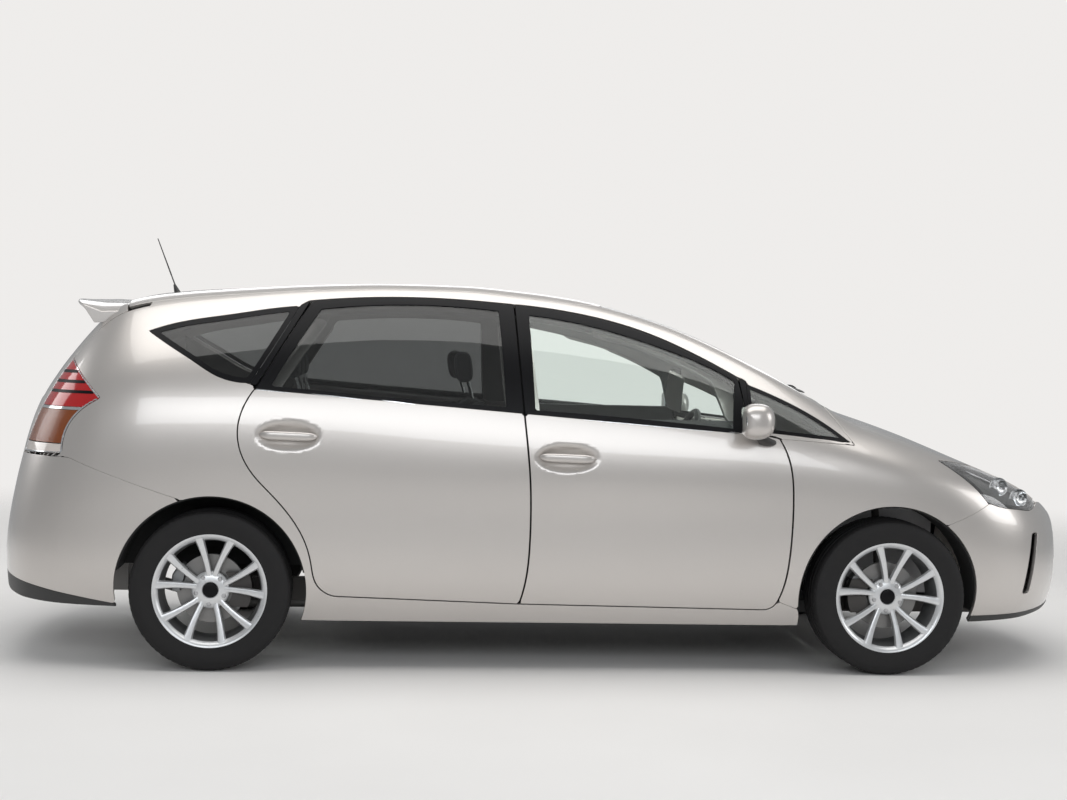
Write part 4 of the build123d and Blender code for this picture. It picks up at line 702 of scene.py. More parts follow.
class Value:
    """A shader socket that takes Python's arithmetic."""

    def __init__(self, kit, socket):
        self.kit, self.socket = kit, socket

    def _math(self, operation, *values):
        return self.kit.node("ShaderNodeMath", {"operation": operation}, dict(enumerate(values)))

    def __add__(self, other):
        return self._math("ADD", self, other)

    def __radd__(self, other):
        return self._math("ADD", other, self)

    def __sub__(self, other):
        return self._math("SUBTRACT", self, other)

    def __rsub__(self, other):
        return self._math("SUBTRACT", other, self)

    def __mul__(self, other):
        return self._math("MULTIPLY", self, other)

    def __rmul__(self, other):
        return self._math("MULTIPLY", other, self)

    def __truediv__(self, other):
        return self._math("DIVIDE", self, other)

    def __rtruediv__(self, other):
        return self._math("DIVIDE", other, self)

    def __pow__(self, other):
        return self._math("POWER", self, other)

    def clamped(self):
        return self.kit.node("ShaderNodeClamp", {}, {"Value": self})

    def ramp(self, low, high):
        """0 below low, 1 above high, smooth between."""
        return self.kit.node("ShaderNodeMapRange", {"interpolation_type": "SMOOTHSTEP"},
                             {"Value": self, "From Min": low, "From Max": high})

    def sine(self):
        return self._math("SINE", self)

    def absolute(self):
        return self._math("ABSOLUTE", self)

    def larger(self, other):
        return self._math("MAXIMUM", self, other)


class Finish:
    """A material, or a world, that is built node by node."""

    def __init__(self, name, world=None):
        self.material = world or bpy.data.materials.new(name)
        self.material.use_nodes = True
        self.tree = self.material.node_tree
        self.tree.nodes.clear()
        self.output = self.tree.nodes.new("ShaderNodeOutputWorld" if world else "ShaderNodeOutputMaterial")

    def node(self, kind, settings=None, inputs=None, out=0):
        node = self.tree.nodes.new(kind)
        for key, value in (settings or {}).items():
            if key == "stops":
                for extra in value[2:]:
                    node.color_ramp.elements.new(extra[0])
                for element, (place, colour) in zip(node.color_ramp.elements, value):
                    element.position, element.color = place, colour
            else:
                setattr(node, key, value)
        for key, value in (inputs or {}).items():
            socket = node.inputs[key]
            if isinstance(value, Value):
                self.tree.links.new(value.socket, socket)
            else:
                socket.default_value = value
        return Value(self, node.outputs[out])

    def place(self, scale=1.0):
        """The point on the piece, in metres times scale."""
        point = self.node("ShaderNodeTexCoord", out="Object")
        return self.node("ShaderNodeVectorMath", {"operation": "SCALE"}, {0: point, "Scale": scale})

    def axis(self, which):
        point = self.node("ShaderNodeTexCoord", out="Object")
        return self.node("ShaderNodeSeparateXYZ", {}, {0: point}, out=which)

    def noise(self, scale, detail=3.0, rough=0.55, vector=None):
        return self.node("ShaderNodeTexNoise", {}, {
            "Vector": vector or self.place(), "Scale": scale, "Detail": detail, "Roughness": rough})

    def cells(self, scale, out="Distance", feature="F1"):
        return self.node("ShaderNodeTexVoronoi", {"feature": feature},
                         {"Vector": self.place(), "Scale": scale}, out=out)

    def mix(self, factor, first, second):
        return self.node("ShaderNodeMix", {"data_type": "RGBA"}, {0: factor, 6: first, 7: second}, out=2)

    def bump(self, height, strength=0.2, distance=0.001, normal=None):
        inputs = {"Height": height, "Strength": strength, "Distance": distance}
        if normal is not None:
            inputs["Normal"] = normal
        return self.node("ShaderNodeBump", {}, inputs)

    def shader(self, **sockets):
        names = {"base": "Base Color", "rough": "Roughness", "metal": "Metallic", "normal": "Normal",
                 "coat": "Coat Weight", "coat_rough": "Coat Roughness", "glass": "Transmission Weight",
                 "ior": "IOR", "sheen": "Sheen Weight", "specular": "Specular IOR Level",
                 "glow": "Emission Color", "glow_strength": "Emission Strength", "alpha": "Alpha",
                 "sheen_rough": "Sheen Roughness"}
        return self.node("ShaderNodeBsdfPrincipled", {}, {names[k]: v for k, v in sockets.items()})

    def done(self, shader):
        self.tree.links.new(shader.socket, self.output.inputs["Surface"])
        return self.material

    def glassy(self, shader):
        """The finished material, with rays towards the lamps let through."""
        shadow = self.node("ShaderNodeLightPath", out="Is Shadow Ray")
        clear = self.node("ShaderNodeBsdfTransparent", {}, {0: (0.75, 0.78, 0.77, 1)})
        return self.done(self.node("ShaderNodeMixShader", {}, {0: shadow, 1: shader, 2: clear}))


def body_paint(name="body_paint", tint=(0.66, 0.63, 0.605), deep=(0.54, 0.51, 0.485)):
    """Champagne silver metallic under a clear coat, with fine flake."""
    m = Finish(name)
    flake = m.cells(1900.0, out="Color")
    spark = m.node("ShaderNodeSeparateColor", {}, {0: flake}, out=0)
    cloud = m.noise(1.3, 2.0)
    base = m.mix(spark * 0.35 + cloud * 0.25, (*deep, 1), (*tint, 1))
    normal = m.bump(spark, 0.05, 0.0002)
    return m.done(m.shader(base=base, metal=0.72, rough=0.31 + spark * 0.06, coat=1.0,
                           coat_rough=0.025, normal=normal))


def woven_lens():
    """Amber lens over a fine woven reflector."""
    m = Finish("amber_lens")
    weave = ((m.axis(2) * 900.0 + m.axis(1) * 500.0).sine() * (m.axis(0) * 700.0).sine()).absolute()
    base = m.mix(weave, (0.10, 0.018, 0.002, 1), (0.36, 0.09, 0.012, 1))
    return m.done(m.shader(base=base, rough=weave * 0.1 + 0.14, coat=0.3, coat_rough=0.06,
                           normal=m.bump(weave, 0.3, 0.0008)))


def plastic(name, shade, rough=0.5, grain=900.0, depth=0.25, tint=(1, 1, 1)):
    """Moulded plastic with a fine leather-like grain."""
    m = Finish(name)
    pores = m.cells(grain, feature="SMOOTH_F1")
    wear = m.noise(4.0, 3.0)
    low = tuple(shade * 0.8 * t for t in tint) + (1,)
    high = tuple(shade * 1.25 * t for t in tint) + (1,)
    base = m.mix(wear, low, high)
    return m.done(m.shader(base=base, rough=wear * 0.14 + (rough - 0.07),
                           normal=m.bump(pores, depth, 0.0004)))


def gloss(name, colour, rough=0.08, coat=1.0, specular=0.5):
    """Smooth lacquered plastic."""
    m = Finish(name)
    haze = m.noise(14.0, 4.0)
    base = m.mix(haze, tuple(c * 0.85 for c in colour) + (1,), tuple(c * 1.1 for c in colour) + (1,))
    return m.done(m.shader(base=base, rough=haze * 0.06 + rough, coat=coat, coat_rough=0.03,
                           specular=specular))


def metal(name, colour, rough=0.25, brushed=60.0, metallic=1.0):
    """Cast or plated metal, a little uneven."""
    m = Finish(name)
    cloud = m.noise(brushed, 5.0)
    base = m.mix(cloud, tuple(c * 0.86 for c in colour) + (1,), tuple(c for c in colour) + (1,))
    return m.done(m.shader(base=base, metal=metallic, rough=cloud * 0.12 + (rough - 0.06),
                           normal=m.bump(cloud, 0.04, 0.0005)))


def glass(name, colour, rough=0.0):
    """Tinted glass that lets lamps through."""
    m = Finish(name)
    film = m.noise(3.0, 2.0)
    base = m.mix(film, tuple(c * 0.96 for c in colour) + (1,), tuple(c for c in colour) + (1,))
    return m.glassy(m.shader(base=base, rough=rough, glass=1.0, ior=1.45))

# ---------------------------------------------------------------- finishes

PAINT = body_paint()
BLACK = gloss("piano_black", (0.006, 0.006, 0.007), rough=0.32, coat=0.0, specular=0.12)
TRIM = plastic("moulded_black", 0.028, rough=0.48)
LINER = plastic("felt_liner", 0.018, rough=0.9, grain=500.0, depth=0.5)
CABIN = plastic("soft_dash", 0.035, rough=0.62, grain=700.0)
HEADLINER = plastic("headliner_cloth", 0.15, rough=0.95, grain=700.0, depth=0.04, tint=(1, 0.97, 0.92))
RUBBER = plastic("seal_rubber", 0.014, rough=0.6, grain=1400.0)
CHROME = metal("bright_chrome", (0.86, 0.87, 0.88), rough=0.1)
ALLOY = metal("painted_alloy", (0.72, 0.73, 0.74), rough=0.30, metallic=0.65)
STEEL = metal("turned_steel", (0.55, 0.55, 0.56), rough=0.35, brushed=240.0)
CAST = metal("cast_iron", (0.10, 0.095, 0.092), rough=0.62)
# Painted shade: the rim barrel is the same alloy as the wheel's face, coloured much darker for the shade
# inside the wheel; the brake callipers share this finish
BARREL = metal("shaded_barrel", (0.30, 0.305, 0.31), rough=0.45, metallic=0.8)
DISC = metal("brake_iron", (0.26, 0.255, 0.25), rough=0.4, brushed=240.0, metallic=0.9)
CLEAR = glass("clear_glass", (0.90, 0.955, 0.93))
TINT = glass("dark_glass", (0.29, 0.30, 0.30))
LENS = glass("lamp_lens", (0.97, 0.98, 0.99))
RED_LENS = gloss("red_lens", (0.42, 0.004, 0.006), rough=0.08, coat=0.5)
AMBER_LENS = woven_lens()
WARM_LENS = gloss("smoked_clear_lens", (0.66, 0.60, 0.56), rough=0.08)

RIGHT = (0.0, 0.5)
CORNERS = {"right": -1, "left": 1}

# ---------------------------------------------------------------- helpers for swept and turned pieces


def skin(name, rings, material, wrap=True, ends=True, smooth=True, angle=None):
    """A closed skin over rings of points, (rings, points, 3) in millimetres."""
    rings = np.asarray(rings, float)
    rows, count = rings.shape[:2]
    faces = []
    for i in range(rows - 1):
        for j in range(count if wrap else count - 1):
            k = (j + 1) % count
            faces.append([i * count + j, i * count + k, (i + 1) * count + k, (i + 1) * count + j])
    if ends:
        faces += [list(range(count))[::-1], list(range((rows - 1) * count, rows * count))]
    piece = mesh_object(name, rings.reshape(-1, 3), faces, material, smooth=smooth)
    tidy(piece, angle)
    return piece


def tidy(piece, angle=None):
    """Outward faces, and sharp edges where the surface turns by more than angle."""
    edit = bmesh.new()
    edit.from_mesh(piece.data)
    bmesh.ops.recalc_face_normals(edit, faces=edit.faces)
    edit.to_mesh(piece.data)
    edit.free()
    if angle:
        piece.data.set_sharp_from_angle(angle=math.radians(angle))


def turned(name, profile, centre, material, segments=96, angle=35, closed=True):
    """A profile of (radius, y) turned round the axle through centre."""
    a = np.linspace(0, 2 * math.pi, segments, endpoint=False)
    profile = np.asarray(profile, float)
    rings = np.stack([
        centre[0] + profile[:, :1] * np.cos(a), np.repeat(centre[1] + profile[:, 1:], segments, 1),
        centre[2] + profile[:, :1] * np.sin(a)], -1)
    if closed:
        rings = np.concatenate([rings, rings[:1]])
    return skin(name, rings, material, ends=not closed, angle=angle)


def swept(name, path, sizes, material, up=(0, 0, 1), points=20, square=2.0):
    """An oval section, (half width, half height) at each place, carried along a path."""
    path, up = np.asarray(path, float), np.asarray(up, float)
    ahead = unit(np.gradient(path, axis=0))
    side = unit(np.cross(ahead, up))
    top = np.cross(side, ahead)
    a = np.linspace(0, 2 * math.pi, points, endpoint=False)
    c, s = np.cos(a), np.sin(a)
    c, s = (np.sign(v) * np.abs(v) ** (2 / square) for v in (c, s))
    sizes = np.broadcast_to(np.asarray(sizes, float), (len(path), 2))
    rings = (path[:, None] + side[:, None] * (c[:, None] * sizes[:, None, :1])
             + top[:, None] * (s[:, None] * sizes[:, None, 1:]))
    return skin(name, rings, material, angle=50)


def curve_through(points, count=24):
    """Points on the smooth curve through these."""
    points = np.asarray(points, float)
    knots = np.r_[0, np.cumsum(np.linalg.norm(np.diff(points, axis=0), axis=1))]
    return spline_weights(knots, np.linspace(0, knots[-1], count)) @ points


def rounded_ends(count, size, tip=0.25):
    """Sizes along a sweep that close in at both ends."""
    t = np.linspace(-1, 1, count)
    scale = np.maximum(np.sqrt(np.clip(1 - t**6, 0, 1)), tip)
    return np.stack([size[0] * scale, size[1] * scale], 1)


def joined(name, pieces):
    """One piece from several with the same material."""
    edit = bmesh.new()
    for piece in pieces:
        edit.from_mesh(piece.data)
    mesh = pieces[0].data
    edit.to_mesh(mesh)
    edit.free()
    for piece in pieces[1:]:
        bpy.data.objects.remove(piece)
    pieces[0].name = mesh.name = name
    return pieces[0]


def both(piece, stem, nodes=(), bodies=("body", "body"), label="{side}_{stem}"):
    """The right-hand piece and its mirror image, each riding on its body."""
    made = {}
    for side, body in zip(("right", "left"), bodies):
        name = label.format(side=side, stem=stem)
        if side == "right":
            piece.name = piece.data.name = name
            copy = piece
        else:
            copy = mirrored(piece, name)
        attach(copy, body)
        made[side] = copy
    for side in made:
        for node in nodes:
            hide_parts(node.format(side=side))
    return made


def alone(piece, body="body", nodes=()):
    """A single piece on its body, standing for the nodes that it replaces."""
    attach(piece, body)
    for node in nodes:
        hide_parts(node)
    return piece


# ---------------------------------------------------------------- doors

# Where each handle is, as (x, z), and half the length and height of the recess behind it
HANDLES = {"front": (14, 880), "rear": (-1106, 950)}
DISH = (132, 56)
DISH_DEPTH = 20.0

# The part of a door above the foot of its window, which is a black sash, and the black strips between
ABOVE_BELT = Zone(lambda p: 1053 - 0.0718 * (p[..., 0] + 118) - p[..., 2])
DIVIDERS = from_side([
    [(-1270, 1152), (-1165, 1330), (-1078, 1478)], [(-1078, 1478), (-1036, 1502)],
    [(-1036, 1502), (-1126, 1345), (-1240, 1150)], [(-1240, 1150), (-1270, 1152)],
]) + from_side([
    [(746, 1004), (740, 1222)], [(740, 1222), (770, 1206)], [(770, 1206), (770, 1004)],
    [(770, 1004), (746, 1004)],
])

# Each door's outline, window, range of x and glass
DOOR_PARTS = {
    "front": (FRONT_DOOR, FRONT_WINDOW, (-212, 962), CLEAR),
    "rear": (REAR_DOOR, REAR_WINDOW, (-1320, -120), TINT),
}


def dish_at(x, z):
    """The recess behind a handle, as a push into the surface."""
    def push(grid):
        r = np.hypot((grid[..., 0] - x) / DISH[0], (grid[..., 2] - z) / DISH[1])
        return -DISH_DEPTH * np.clip(1 - r**2.6, 0, 1) ** 0.8
    return push


def make_handle(end):
    """A grip that stands over its recess and meets the door at both ends."""
    x, z = HANDLES[end]
    run = np.linspace(-1, 1, 28)
    path = [(x + 113 * t, -skin_y(x + 113 * t, z) - 13 + 17 * abs(t) ** 5, z + 2 - 3 * t) for t in run]
    return swept(f"{end}_handle", path, rounded_ends(28, (10.5, 17)), PAINT, square=2.6)


def make_doors():
    """Each door's skin, sash, bright strip, window, inner card and handle, on both sides."""
    for end, (door, window, reach, pane) in DOOR_PARTS.items():
        bodies = tuple(f"{end}_{side}_door_body" for side in CORNERS)
        zone = (door - window) - WELLS.grown(6) - ABOVE_BELT
        shell = panel("door", PAINT, reach, RIGHT, zone, depth=46, taper=12, step=11, side=-1,
                      relief=dish_at(*HANDLES[end]))
        both(shell, "door_skin", ("%s_{side}_door" % end,), bodies,
             end + "_{side}_{stem}")
        sash = panel("sash", BLACK, reach, RIGHT, (door & ABOVE_BELT) - window, depth=46, taper=12,
                     edge=1.2, step=9, side=-1)
        both(sash, "sash", (), bodies, end + "_{side}_{stem}")
        strip_zone = door.grown(-3) & (ABOVE_BELT.grown(3) - ABOVE_BELT.grown(-2.5))
        seal = panel("seal", CHROME, reach, RIGHT, strip_zone, depth=4, edge=0.8, step=5, inset=-1.4,
                     side=-1)
        both(seal, "bright_strip", (), bodies, end + "_{side}_{stem}")
        sheet = panel("pane", pane, reach, RIGHT, window.grown(7), depth=5, edge=0.6, step=18,
                      inset=3.2, side=-1)
        both(sheet, "window", ("%s_{side}_door_glass" % end,), bodies,
             end + "_{side}_{stem}")
        card = panel("card", CABIN, reach, RIGHT, (door.grown(-26) & below(1040)) - WELLS.grown(30),
                     depth=12, step=20, inset=62, side=-1, relief=armrest_on(end))
        both(card, "door_card", (), bodies, end + "_{side}_{stem}")
        both(make_handle(end), "handle", (), bodies, end + "_{side}_{stem}")


def below(z):
    return beyond(2, z, -1)


def armrest_on(end):
    """The armrest and map pocket of a door card, as a swell inwards."""
    middle = 380 if end == "front" else -600

    def swell(grid):
        rest = np.exp(-((grid[..., 2] - 760) / 42.0) ** 4) * np.exp(-((grid[..., 0] - middle) / 330) ** 6)
        pocket = np.exp(-((grid[..., 2] - 430) / 70) ** 4) * np.exp(-((grid[..., 0] - middle) / 300) ** 6)
        return -38 * rest - 16 * pocket
    return swell


# ---------------------------------------------------------------- body sides and roof

LAMP_INNER_Y = 400.0
LAMP_OUT = HEADLAMP & Zone(lambda p: LAMP_INNER_Y - np.abs(p[..., 1]))
SIDE = CABIN_SIDE & Zone(lambda p: p[..., 1] + 80)
DOORS = FRONT_DOOR.grown(5) + REAR_DOOR.grown(5)
QUARTERS = REAR_QUARTER + FRONT_QUARTER
TOPS = ROOF_ZONE + SCREEN_ZONE + BONNET_TOP
BACK_OPEN = TAILGATE & beyond(0, -1700, -1) & beyond(2, 700)
FLAP_MIDDLE = (-1562, 930)
FLAP = Zone(lambda p: np.hypot(np.maximum(np.abs(p[..., 0] - FLAP_MIDDLE[0]) - 40, 0),
                               np.maximum(np.abs(p[..., 2] - FLAP_MIDDLE[1]) - 40, 0)) - 32)


def left_only(piece, name):
    """A right-hand piece moved over to the left."""
    copy = mirrored(piece, name + "_left")
    bpy.data.objects.remove(piece)
    copy.name = copy.data.name = name
    return copy


def make_body_sides():
    """The sides round the doors, with the fuel flap on the left, pillar covers, seals and linings."""
    zone = (SIDE - DOORS - QUARTERS - DIVIDERS - TOPS.grown(1) - BACK_OPEN.grown(5) - TAIL_LAMP.grown(1)
            - (REAR_BUMPER + FRONT_BUMPER).grown(1) - FENDER.grown(1) - WELLS)
    outer = panel("right_body_side", PAINT, (-2300, 1210), RIGHT, zone, depth=52, step=13, taper=4, side=-1)
    alone(outer, nodes=("body_sides",))
    outer = panel("left", PAINT, (-2300, 1210), RIGHT, zone - FLAP.grown(7), depth=52, step=13, taper=4,
                  side=-1)
    alone(left_only(outer, "left_body_side"))
    flap = panel("flap", PAINT, (-1660, -1460), RIGHT, FLAP, depth=6.5, edge=1.5, step=9, side=-1)
    alone(left_only(flap, "fuel_flap_skin"), "fuel_flap_lid", ("fuel_flap",))
    pocket = panel("pocket", LINER, (-1670, -1450), RIGHT, FLAP.grown(10), depth=4, step=14, inset=53,
                   side=-1)
    alone(left_only(pocket, "fuel_pocket"))
    x, z = FLAP_MIDDLE
    cap = turned("fuel_cap", [(36, 52), (36, 36), (33, 33), (13, 33), (12, 26), (2, 26)],
                 (x, -skin_y(x, z), z), BLACK)
    alone(left_only(cap, "fuel_cap"))
    dark = panel("divider", BLACK, (-1320, 800), RIGHT, DIVIDERS.grown(-0.3) - DOORS - QUARTERS, depth=40,
                 edge=1.0, step=7, side=-1)
    both(dark, "pillar_cover", ())
    edges = (FRONT_DOOR.grown(16) - FRONT_DOOR.grown(-12)) + (REAR_DOOR.grown(16) - REAR_DOOR.grown(-12))
    rubber = panel("rubber", RUBBER, (-1340, 980), RIGHT, (edges & SIDE) - WELLS.grown(2) - TOPS.grown(3),
                   depth=5, edge=1.0, step=9, inset=54, side=-1)
    both(rubber, "door_seal", ())
    frame_zone = (SIDE - FRONT_APERTURE - REAR_APERTURE - QUARTERS.grown(6) - TOPS.grown(8)
                  - BACK_OPEN.grown(8) - WELLS.grown(4) - TAIL_LAMP - FENDER - REAR_BUMPER)
    jamb = panel("jamb", PAINT, (-2000, 1180), RIGHT, frame_zone, depth=22, step=22, inset=88, side=-1)
    both(jamb, "door_jamb", ())
    lining = panel("lining", HEADLINER, (-1750, 700), RIGHT,
                   (SIDE & beyond(2, 1050)) - FRONT_APERTURE - REAR_APERTURE - QUARTERS.grown(8),
                   depth=8, step=22, inset=114, side=-1)
    both(lining, "pillar_lining", ())


def make_quarter_glass():
    rear = panel("rear_quarter", TINT, (-1720, -1040), RIGHT, REAR_QUARTER.grown(-5), depth=5, edge=0.6,
                 step=16, inset=2.2, side=-1)
    both(rear, "rear_quarter_window", ())
    frame_strip = panel("rear_quarter_frame", BLACK, (-1740, -1020), RIGHT,
                        REAR_QUARTER.grown(-1) - REAR_QUARTER.grown(-22), depth=4, edge=0.8, step=8,
                        inset=0.6, side=-1)
    both(frame_strip, "rear_quarter_frame", ())
    front = panel("front_quarter", CLEAR, (760, 1200), RIGHT, FRONT_QUARTER.grown(-4), depth=5, edge=0.6,
                  step=14, inset=2.2, side=-1)
    made = both(front, "front_quarter_window", ())
    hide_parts("quarter_windows")
    frame_strip = panel("front_quarter_frame", BLACK, (755, 1205), RIGHT,
                        FRONT_QUARTER.grown(-1) - FRONT_QUARTER.grown(-15), depth=4, edge=0.8, step=6,
                        inset=0.6, side=-1)
    both(frame_strip, "front_quarter_frame", ())


def make_roof():
    whole = (0.30, 0.70)
    roof = panel("roof_skin", PAINT, (-1800, 260), whole, ROOF_ZONE.grown(-0.3), depth=14, step=16)
    alone(roof, nodes=("roof_panel",))
    lining = panel("headliner", HEADLINER, (-1740, 230), whole, ROOF_ZONE.grown(-6), depth=8, step=30,
                   inset=34)
    alone(lining)
    screen = panel("windscreen_glass", CLEAR, (150, 1230), (0.24, 0.76), SCREEN_ZONE.grown(-3),
                   depth=5, edge=0.6, step=20, inset=3)
    alone(screen, nodes=("windscreen",))
    border = panel("windscreen_border", BLACK, (150, 1230), (0.24, 0.76),
                   SCREEN_ZONE.grown(-0.5) - SCREEN_ZONE.grown(-34), depth=3, edge=0.5, step=10, inset=8.5)
    alone(border)
    tray = panel("cowl_tray", TRIM, (1040, 1280), whole, COWL_ZONE.grown(-0.5), depth=14, step=11,
                 inset=2)
    alone(tray, nodes=("cowl",))


# ---------------------------------------------------------------- front end


def make_bonnet():
    lid = panel("bonnet_skin", PAINT, (1090, 2260), (0.20, 0.80),
                (BONNET_ZONE - LAMP_OUT.grown(5)) & beyond(2, 642), depth=14, step=13, taper=6)
    alone(lid, "bonnet_lid", ("bonnet",))


def make_fenders():
    zone = (FENDER - BONNET_ROOM - LAMP_OUT.grown(0.6) - FRONT_BUMPER.grown(0.8) - WELLS - FRONT_QUARTER
            - SCREEN_ZONE - COWL_ZONE) & Zone(lambda p: p[..., 1] + 480)
    wing = panel("fender", PAINT, (880, 1840), RIGHT, zone, depth=22, step=11, side=-1, taper=3)
    made = both(wing, "front_fender", ())
    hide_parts("front_fenders")


NOSE_HOLES = GRILLE + UPPER_GRILLE
OUTBOARD = Zone(lambda p: 300 - np.abs(p[..., 1]))
NOSE_REACH = (1602, HALF_LENGTH + NOSE_ROWS)
TAIL_REACH = (-HALF_LENGTH - NOSE_ROWS, -1532)
FOG_SLOT = Zone(lambda p: np.hypot(np.maximum(np.abs(p[..., 0] - 2030 + 0.16 * (450 - p[..., 2])) - 9, 0),
                                   np.maximum(np.abs(p[..., 2] - 455) - 118, 0)) - 12)


def closed_nose(zone, name, material, x, depth, step, inset=0.0):
    """A panel that goes right round the nose or the tail."""
    return panel(name, material, x, (0.0, 1.0), zone, depth=depth, step=step, inset=inset)


def make_front_bumper():
    slots = FOG_SLOT & OUTBOARD
    zone = FRONT_BUMPER - BONNET_ROOM - LAMP_OUT.grown(0.6) - WELLS - NOSE_HOLES - slots
    cover = closed_nose(zone, "front_bumper_skin", PAINT, NOSE_REACH, 20, 12)
    alone(cover, nodes=("front_bumper",))
    chin = closed_nose((FRONT_BUMPER - WELLS) & beyond(2, 240, -1), "chin_lip", TRIM,
                       (1640, HALF_LENGTH), 8, 10, inset=-1.5)
    alone(chin)
    dark = closed_nose(NOSE_HOLES.grown(-0.5) & beyond(0, 1950), "grille_mesh", TRIM,
                       (1950, HALF_LENGTH + NOSE_ROWS), 8, 9, inset=14)
    alone(dark, nodes=("grille",))
    back = closed_nose(FOG_SLOT.grown(14) & OUTBOARD, "fog_slots", BLACK, (1900, 2200), 6, 7, inset=21)
    alone(back)


LAMP_REACH = (1585, 2110)


def make_headlamps():
    """A dark pod deep in the wing, a bezel, a bright bar, two projectors and a clear cover."""
    pod = panel("lamp", TRIM, LAMP_REACH, RIGHT, LAMP_OUT.grown(-2), depth=20, step=9, inset=36, side=-1)
    made = both(pod, "headlamp_pod", ())
    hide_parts("headlamps")
    bezel = panel("bezel", BLACK, LAMP_REACH, RIGHT, LAMP_OUT.grown(-4) - LAMP_OUT.grown(-15), depth=16,
                  step=6, inset=9, side=-1)
    both(bezel, "headlamp_bezel", ())
    bar = Zone(lambda p: np.abs(p[..., 2] - (846 - 0.42 * (p[..., 0] - 1760))) - 13)
    bright = panel("reflector", CHROME, (1640, 2090), RIGHT, LAMP_OUT.grown(-14) & bar, depth=10, step=6,
                   inset=22, side=-1)
    both(bright, "headlamp_reflector", ())
    lens = panel("lens", LENS, LAMP_REACH, RIGHT, LAMP_OUT.grown(-0.5), depth=3, edge=0.8, step=9,
                 inset=0.5, side=-1)
    both(lens, "headlamp_lens", ())
    for number, (x, z) in enumerate(((1880, 778), (1985, 728))):
        y = -(skin_y(x, z) - 46)
        bowl = turned("bowl", [(4, 0), (20, -2), (34, -14), (40, -26), (37, -26), (30, -12), (4, 4)],
                      (x, y, z), CHROME, 48)
        both(bowl, f"projector_{number + 1}", ())


# ---------------------------------------------------------------- tail

TAIL_OPENING = TAILGATE & beyond(0, ROOF_END, -1)
TAIL_PATCH = (TAIL_LAMP & beyond(2, 852) & beyond(2, 1248, -1)) - TAIL_OPENING.grown(5)
TAIL_LAMP_REACH = (-2316, -1850)


def lamp_band(low, high, lean=0.0):
    """A band of the tail lamp between two heights."""
    return Zone(lambda p: np.maximum(low - p[..., 2] + lean * (p[..., 0] + 2100),
                                     p[..., 2] - high - lean * (p[..., 0] + 2100)))


def make_tail_lamps():
    """Bands of lens one over the other, a bright border and three dark ribs over the red top."""
    parts = {
        "tail_red_top": (RED_LENS, lamp_band(1106, 1250), 0.4, "lamp_red"),
        "tail_divider": (CHROME, lamp_band(1034, 1046), -1.0, "alloy"),
        "tail_indicator": (AMBER_LENS, lamp_band(900, 1034), 0.4, "lamp_clear"),
        "tail_reflector": (RED_LENS, lamp_band(1046, 1104), 0.4, "lamp_red"),
        "tail_clear_foot": (WARM_LENS, lamp_band(852, 898), 0.4, "lamp_clear"),
    }
    for stem, (material, band, inset, slot) in parts.items():
        piece = panel(stem, material, TAIL_LAMP_REACH, RIGHT, TAIL_PATCH.grown(-1) & band.grown(-0.6),
                      depth=14, edge=1.2, step=7, inset=inset, side=-1)
        made = both(piece, stem, ())
        if stem == "tail_red_top":
            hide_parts("tail_lamps")
    border = panel("border", CHROME, TAIL_LAMP_REACH, RIGHT, TAIL_PATCH.grown(-1) - TAIL_PATCH.grown(-7),
                   depth=6, edge=0.8, step=5, inset=-0.6, side=-1)
    both(border, "tail_bright_border", ())
    for k in range(3):
        z = 1106 + 40 * k
        rib = panel("rib", BLACK, TAIL_LAMP_REACH, RIGHT, TAIL_PATCH.grown(-8) & lamp_band(z - 6, z + 6),
                    depth=5, edge=0.8, step=5, inset=-0.8, side=-1)
        both(rib, f"tail_rib_{k + 1}", ())


def make_tailgate():
    zone = (TAIL_OPENING & beyond(2, 716)) - TAIL_WINDOW - ROOF_ZONE.grown(5)
    lid = panel("tailgate_skin", PAINT, (-2318, -1780), (0.10, 0.90), zone & beyond(2, 1470, -1), depth=20,
                step=13, taper=6)
    alone(lid, "tailgate_lid", ("tailgate",))
    pane = panel("tailgate_window", TINT, (-2300, -1790), (0.15, 0.85),
                 TAIL_WINDOW.grown(-2) & beyond(0, ROOF_END, -1) & beyond(2, 1040), depth=5, edge=0.6,
                 step=16, inset=2.5)
    alone(pane, "tailgate_lid", ("tailgate_glass",))


def make_rear_bumper():
    above = Zone(lambda p: 246 + 0.18 * (-1700 - p[..., 0]) - p[..., 2])
    zone = REAR_BUMPER - WELLS - (TAILGATE & beyond(2, 705)).grown(5) - TAIL_PATCH.grown(1)
    cover = closed_nose(zone & above, "rear_bumper_skin", PAINT, TAIL_REACH, 20, 12)
    alone(cover, nodes=("rear_bumper",))
    lip = closed_nose(REAR_BUMPER - WELLS - above.grown(1), "diffuser", TRIM, TAIL_REACH, 14, 12)
    alone(lip)


def make_spoiler():
    """A wing over the top of the tailgate, thinner and lower towards its ends."""
    rows, half = 41, 530.0
    rings = []
    for t in np.linspace(-1, 1, rows):
        y = half * t
        root = skin_z(-1830, y)
        tip_x, tip_z = -2034 + 60 * t**4, 1490 - 30 * t**4
        rings.append([(-1800, y, root + 1), (-1900, y, root + 4 - 8 * t**4), (tip_x, y, tip_z),
                      (tip_x - 4, y, tip_z - 9), (tip_x + 6, y, tip_z - 16), (-1930, y, root - 52),
                      (-1860, y, root - 48)])
    wing = skin("spoiler_wing", rings, PAINT, angle=40)
    bevelled(wing, 3)
    alone(wing, "tailgate_lid", ("rear_spoiler",))


def bevelled(piece, width, segments=2, angle=35):
    """Rounded edges, applied."""
    change = piece.modifiers.new("bevel", "BEVEL")
    change.width, change.segments = width * MM, segments
    change.limit_method, change.angle_limit = "ANGLE", math.radians(angle)
    change.harden_normals = True
    applied(piece)
    return piece


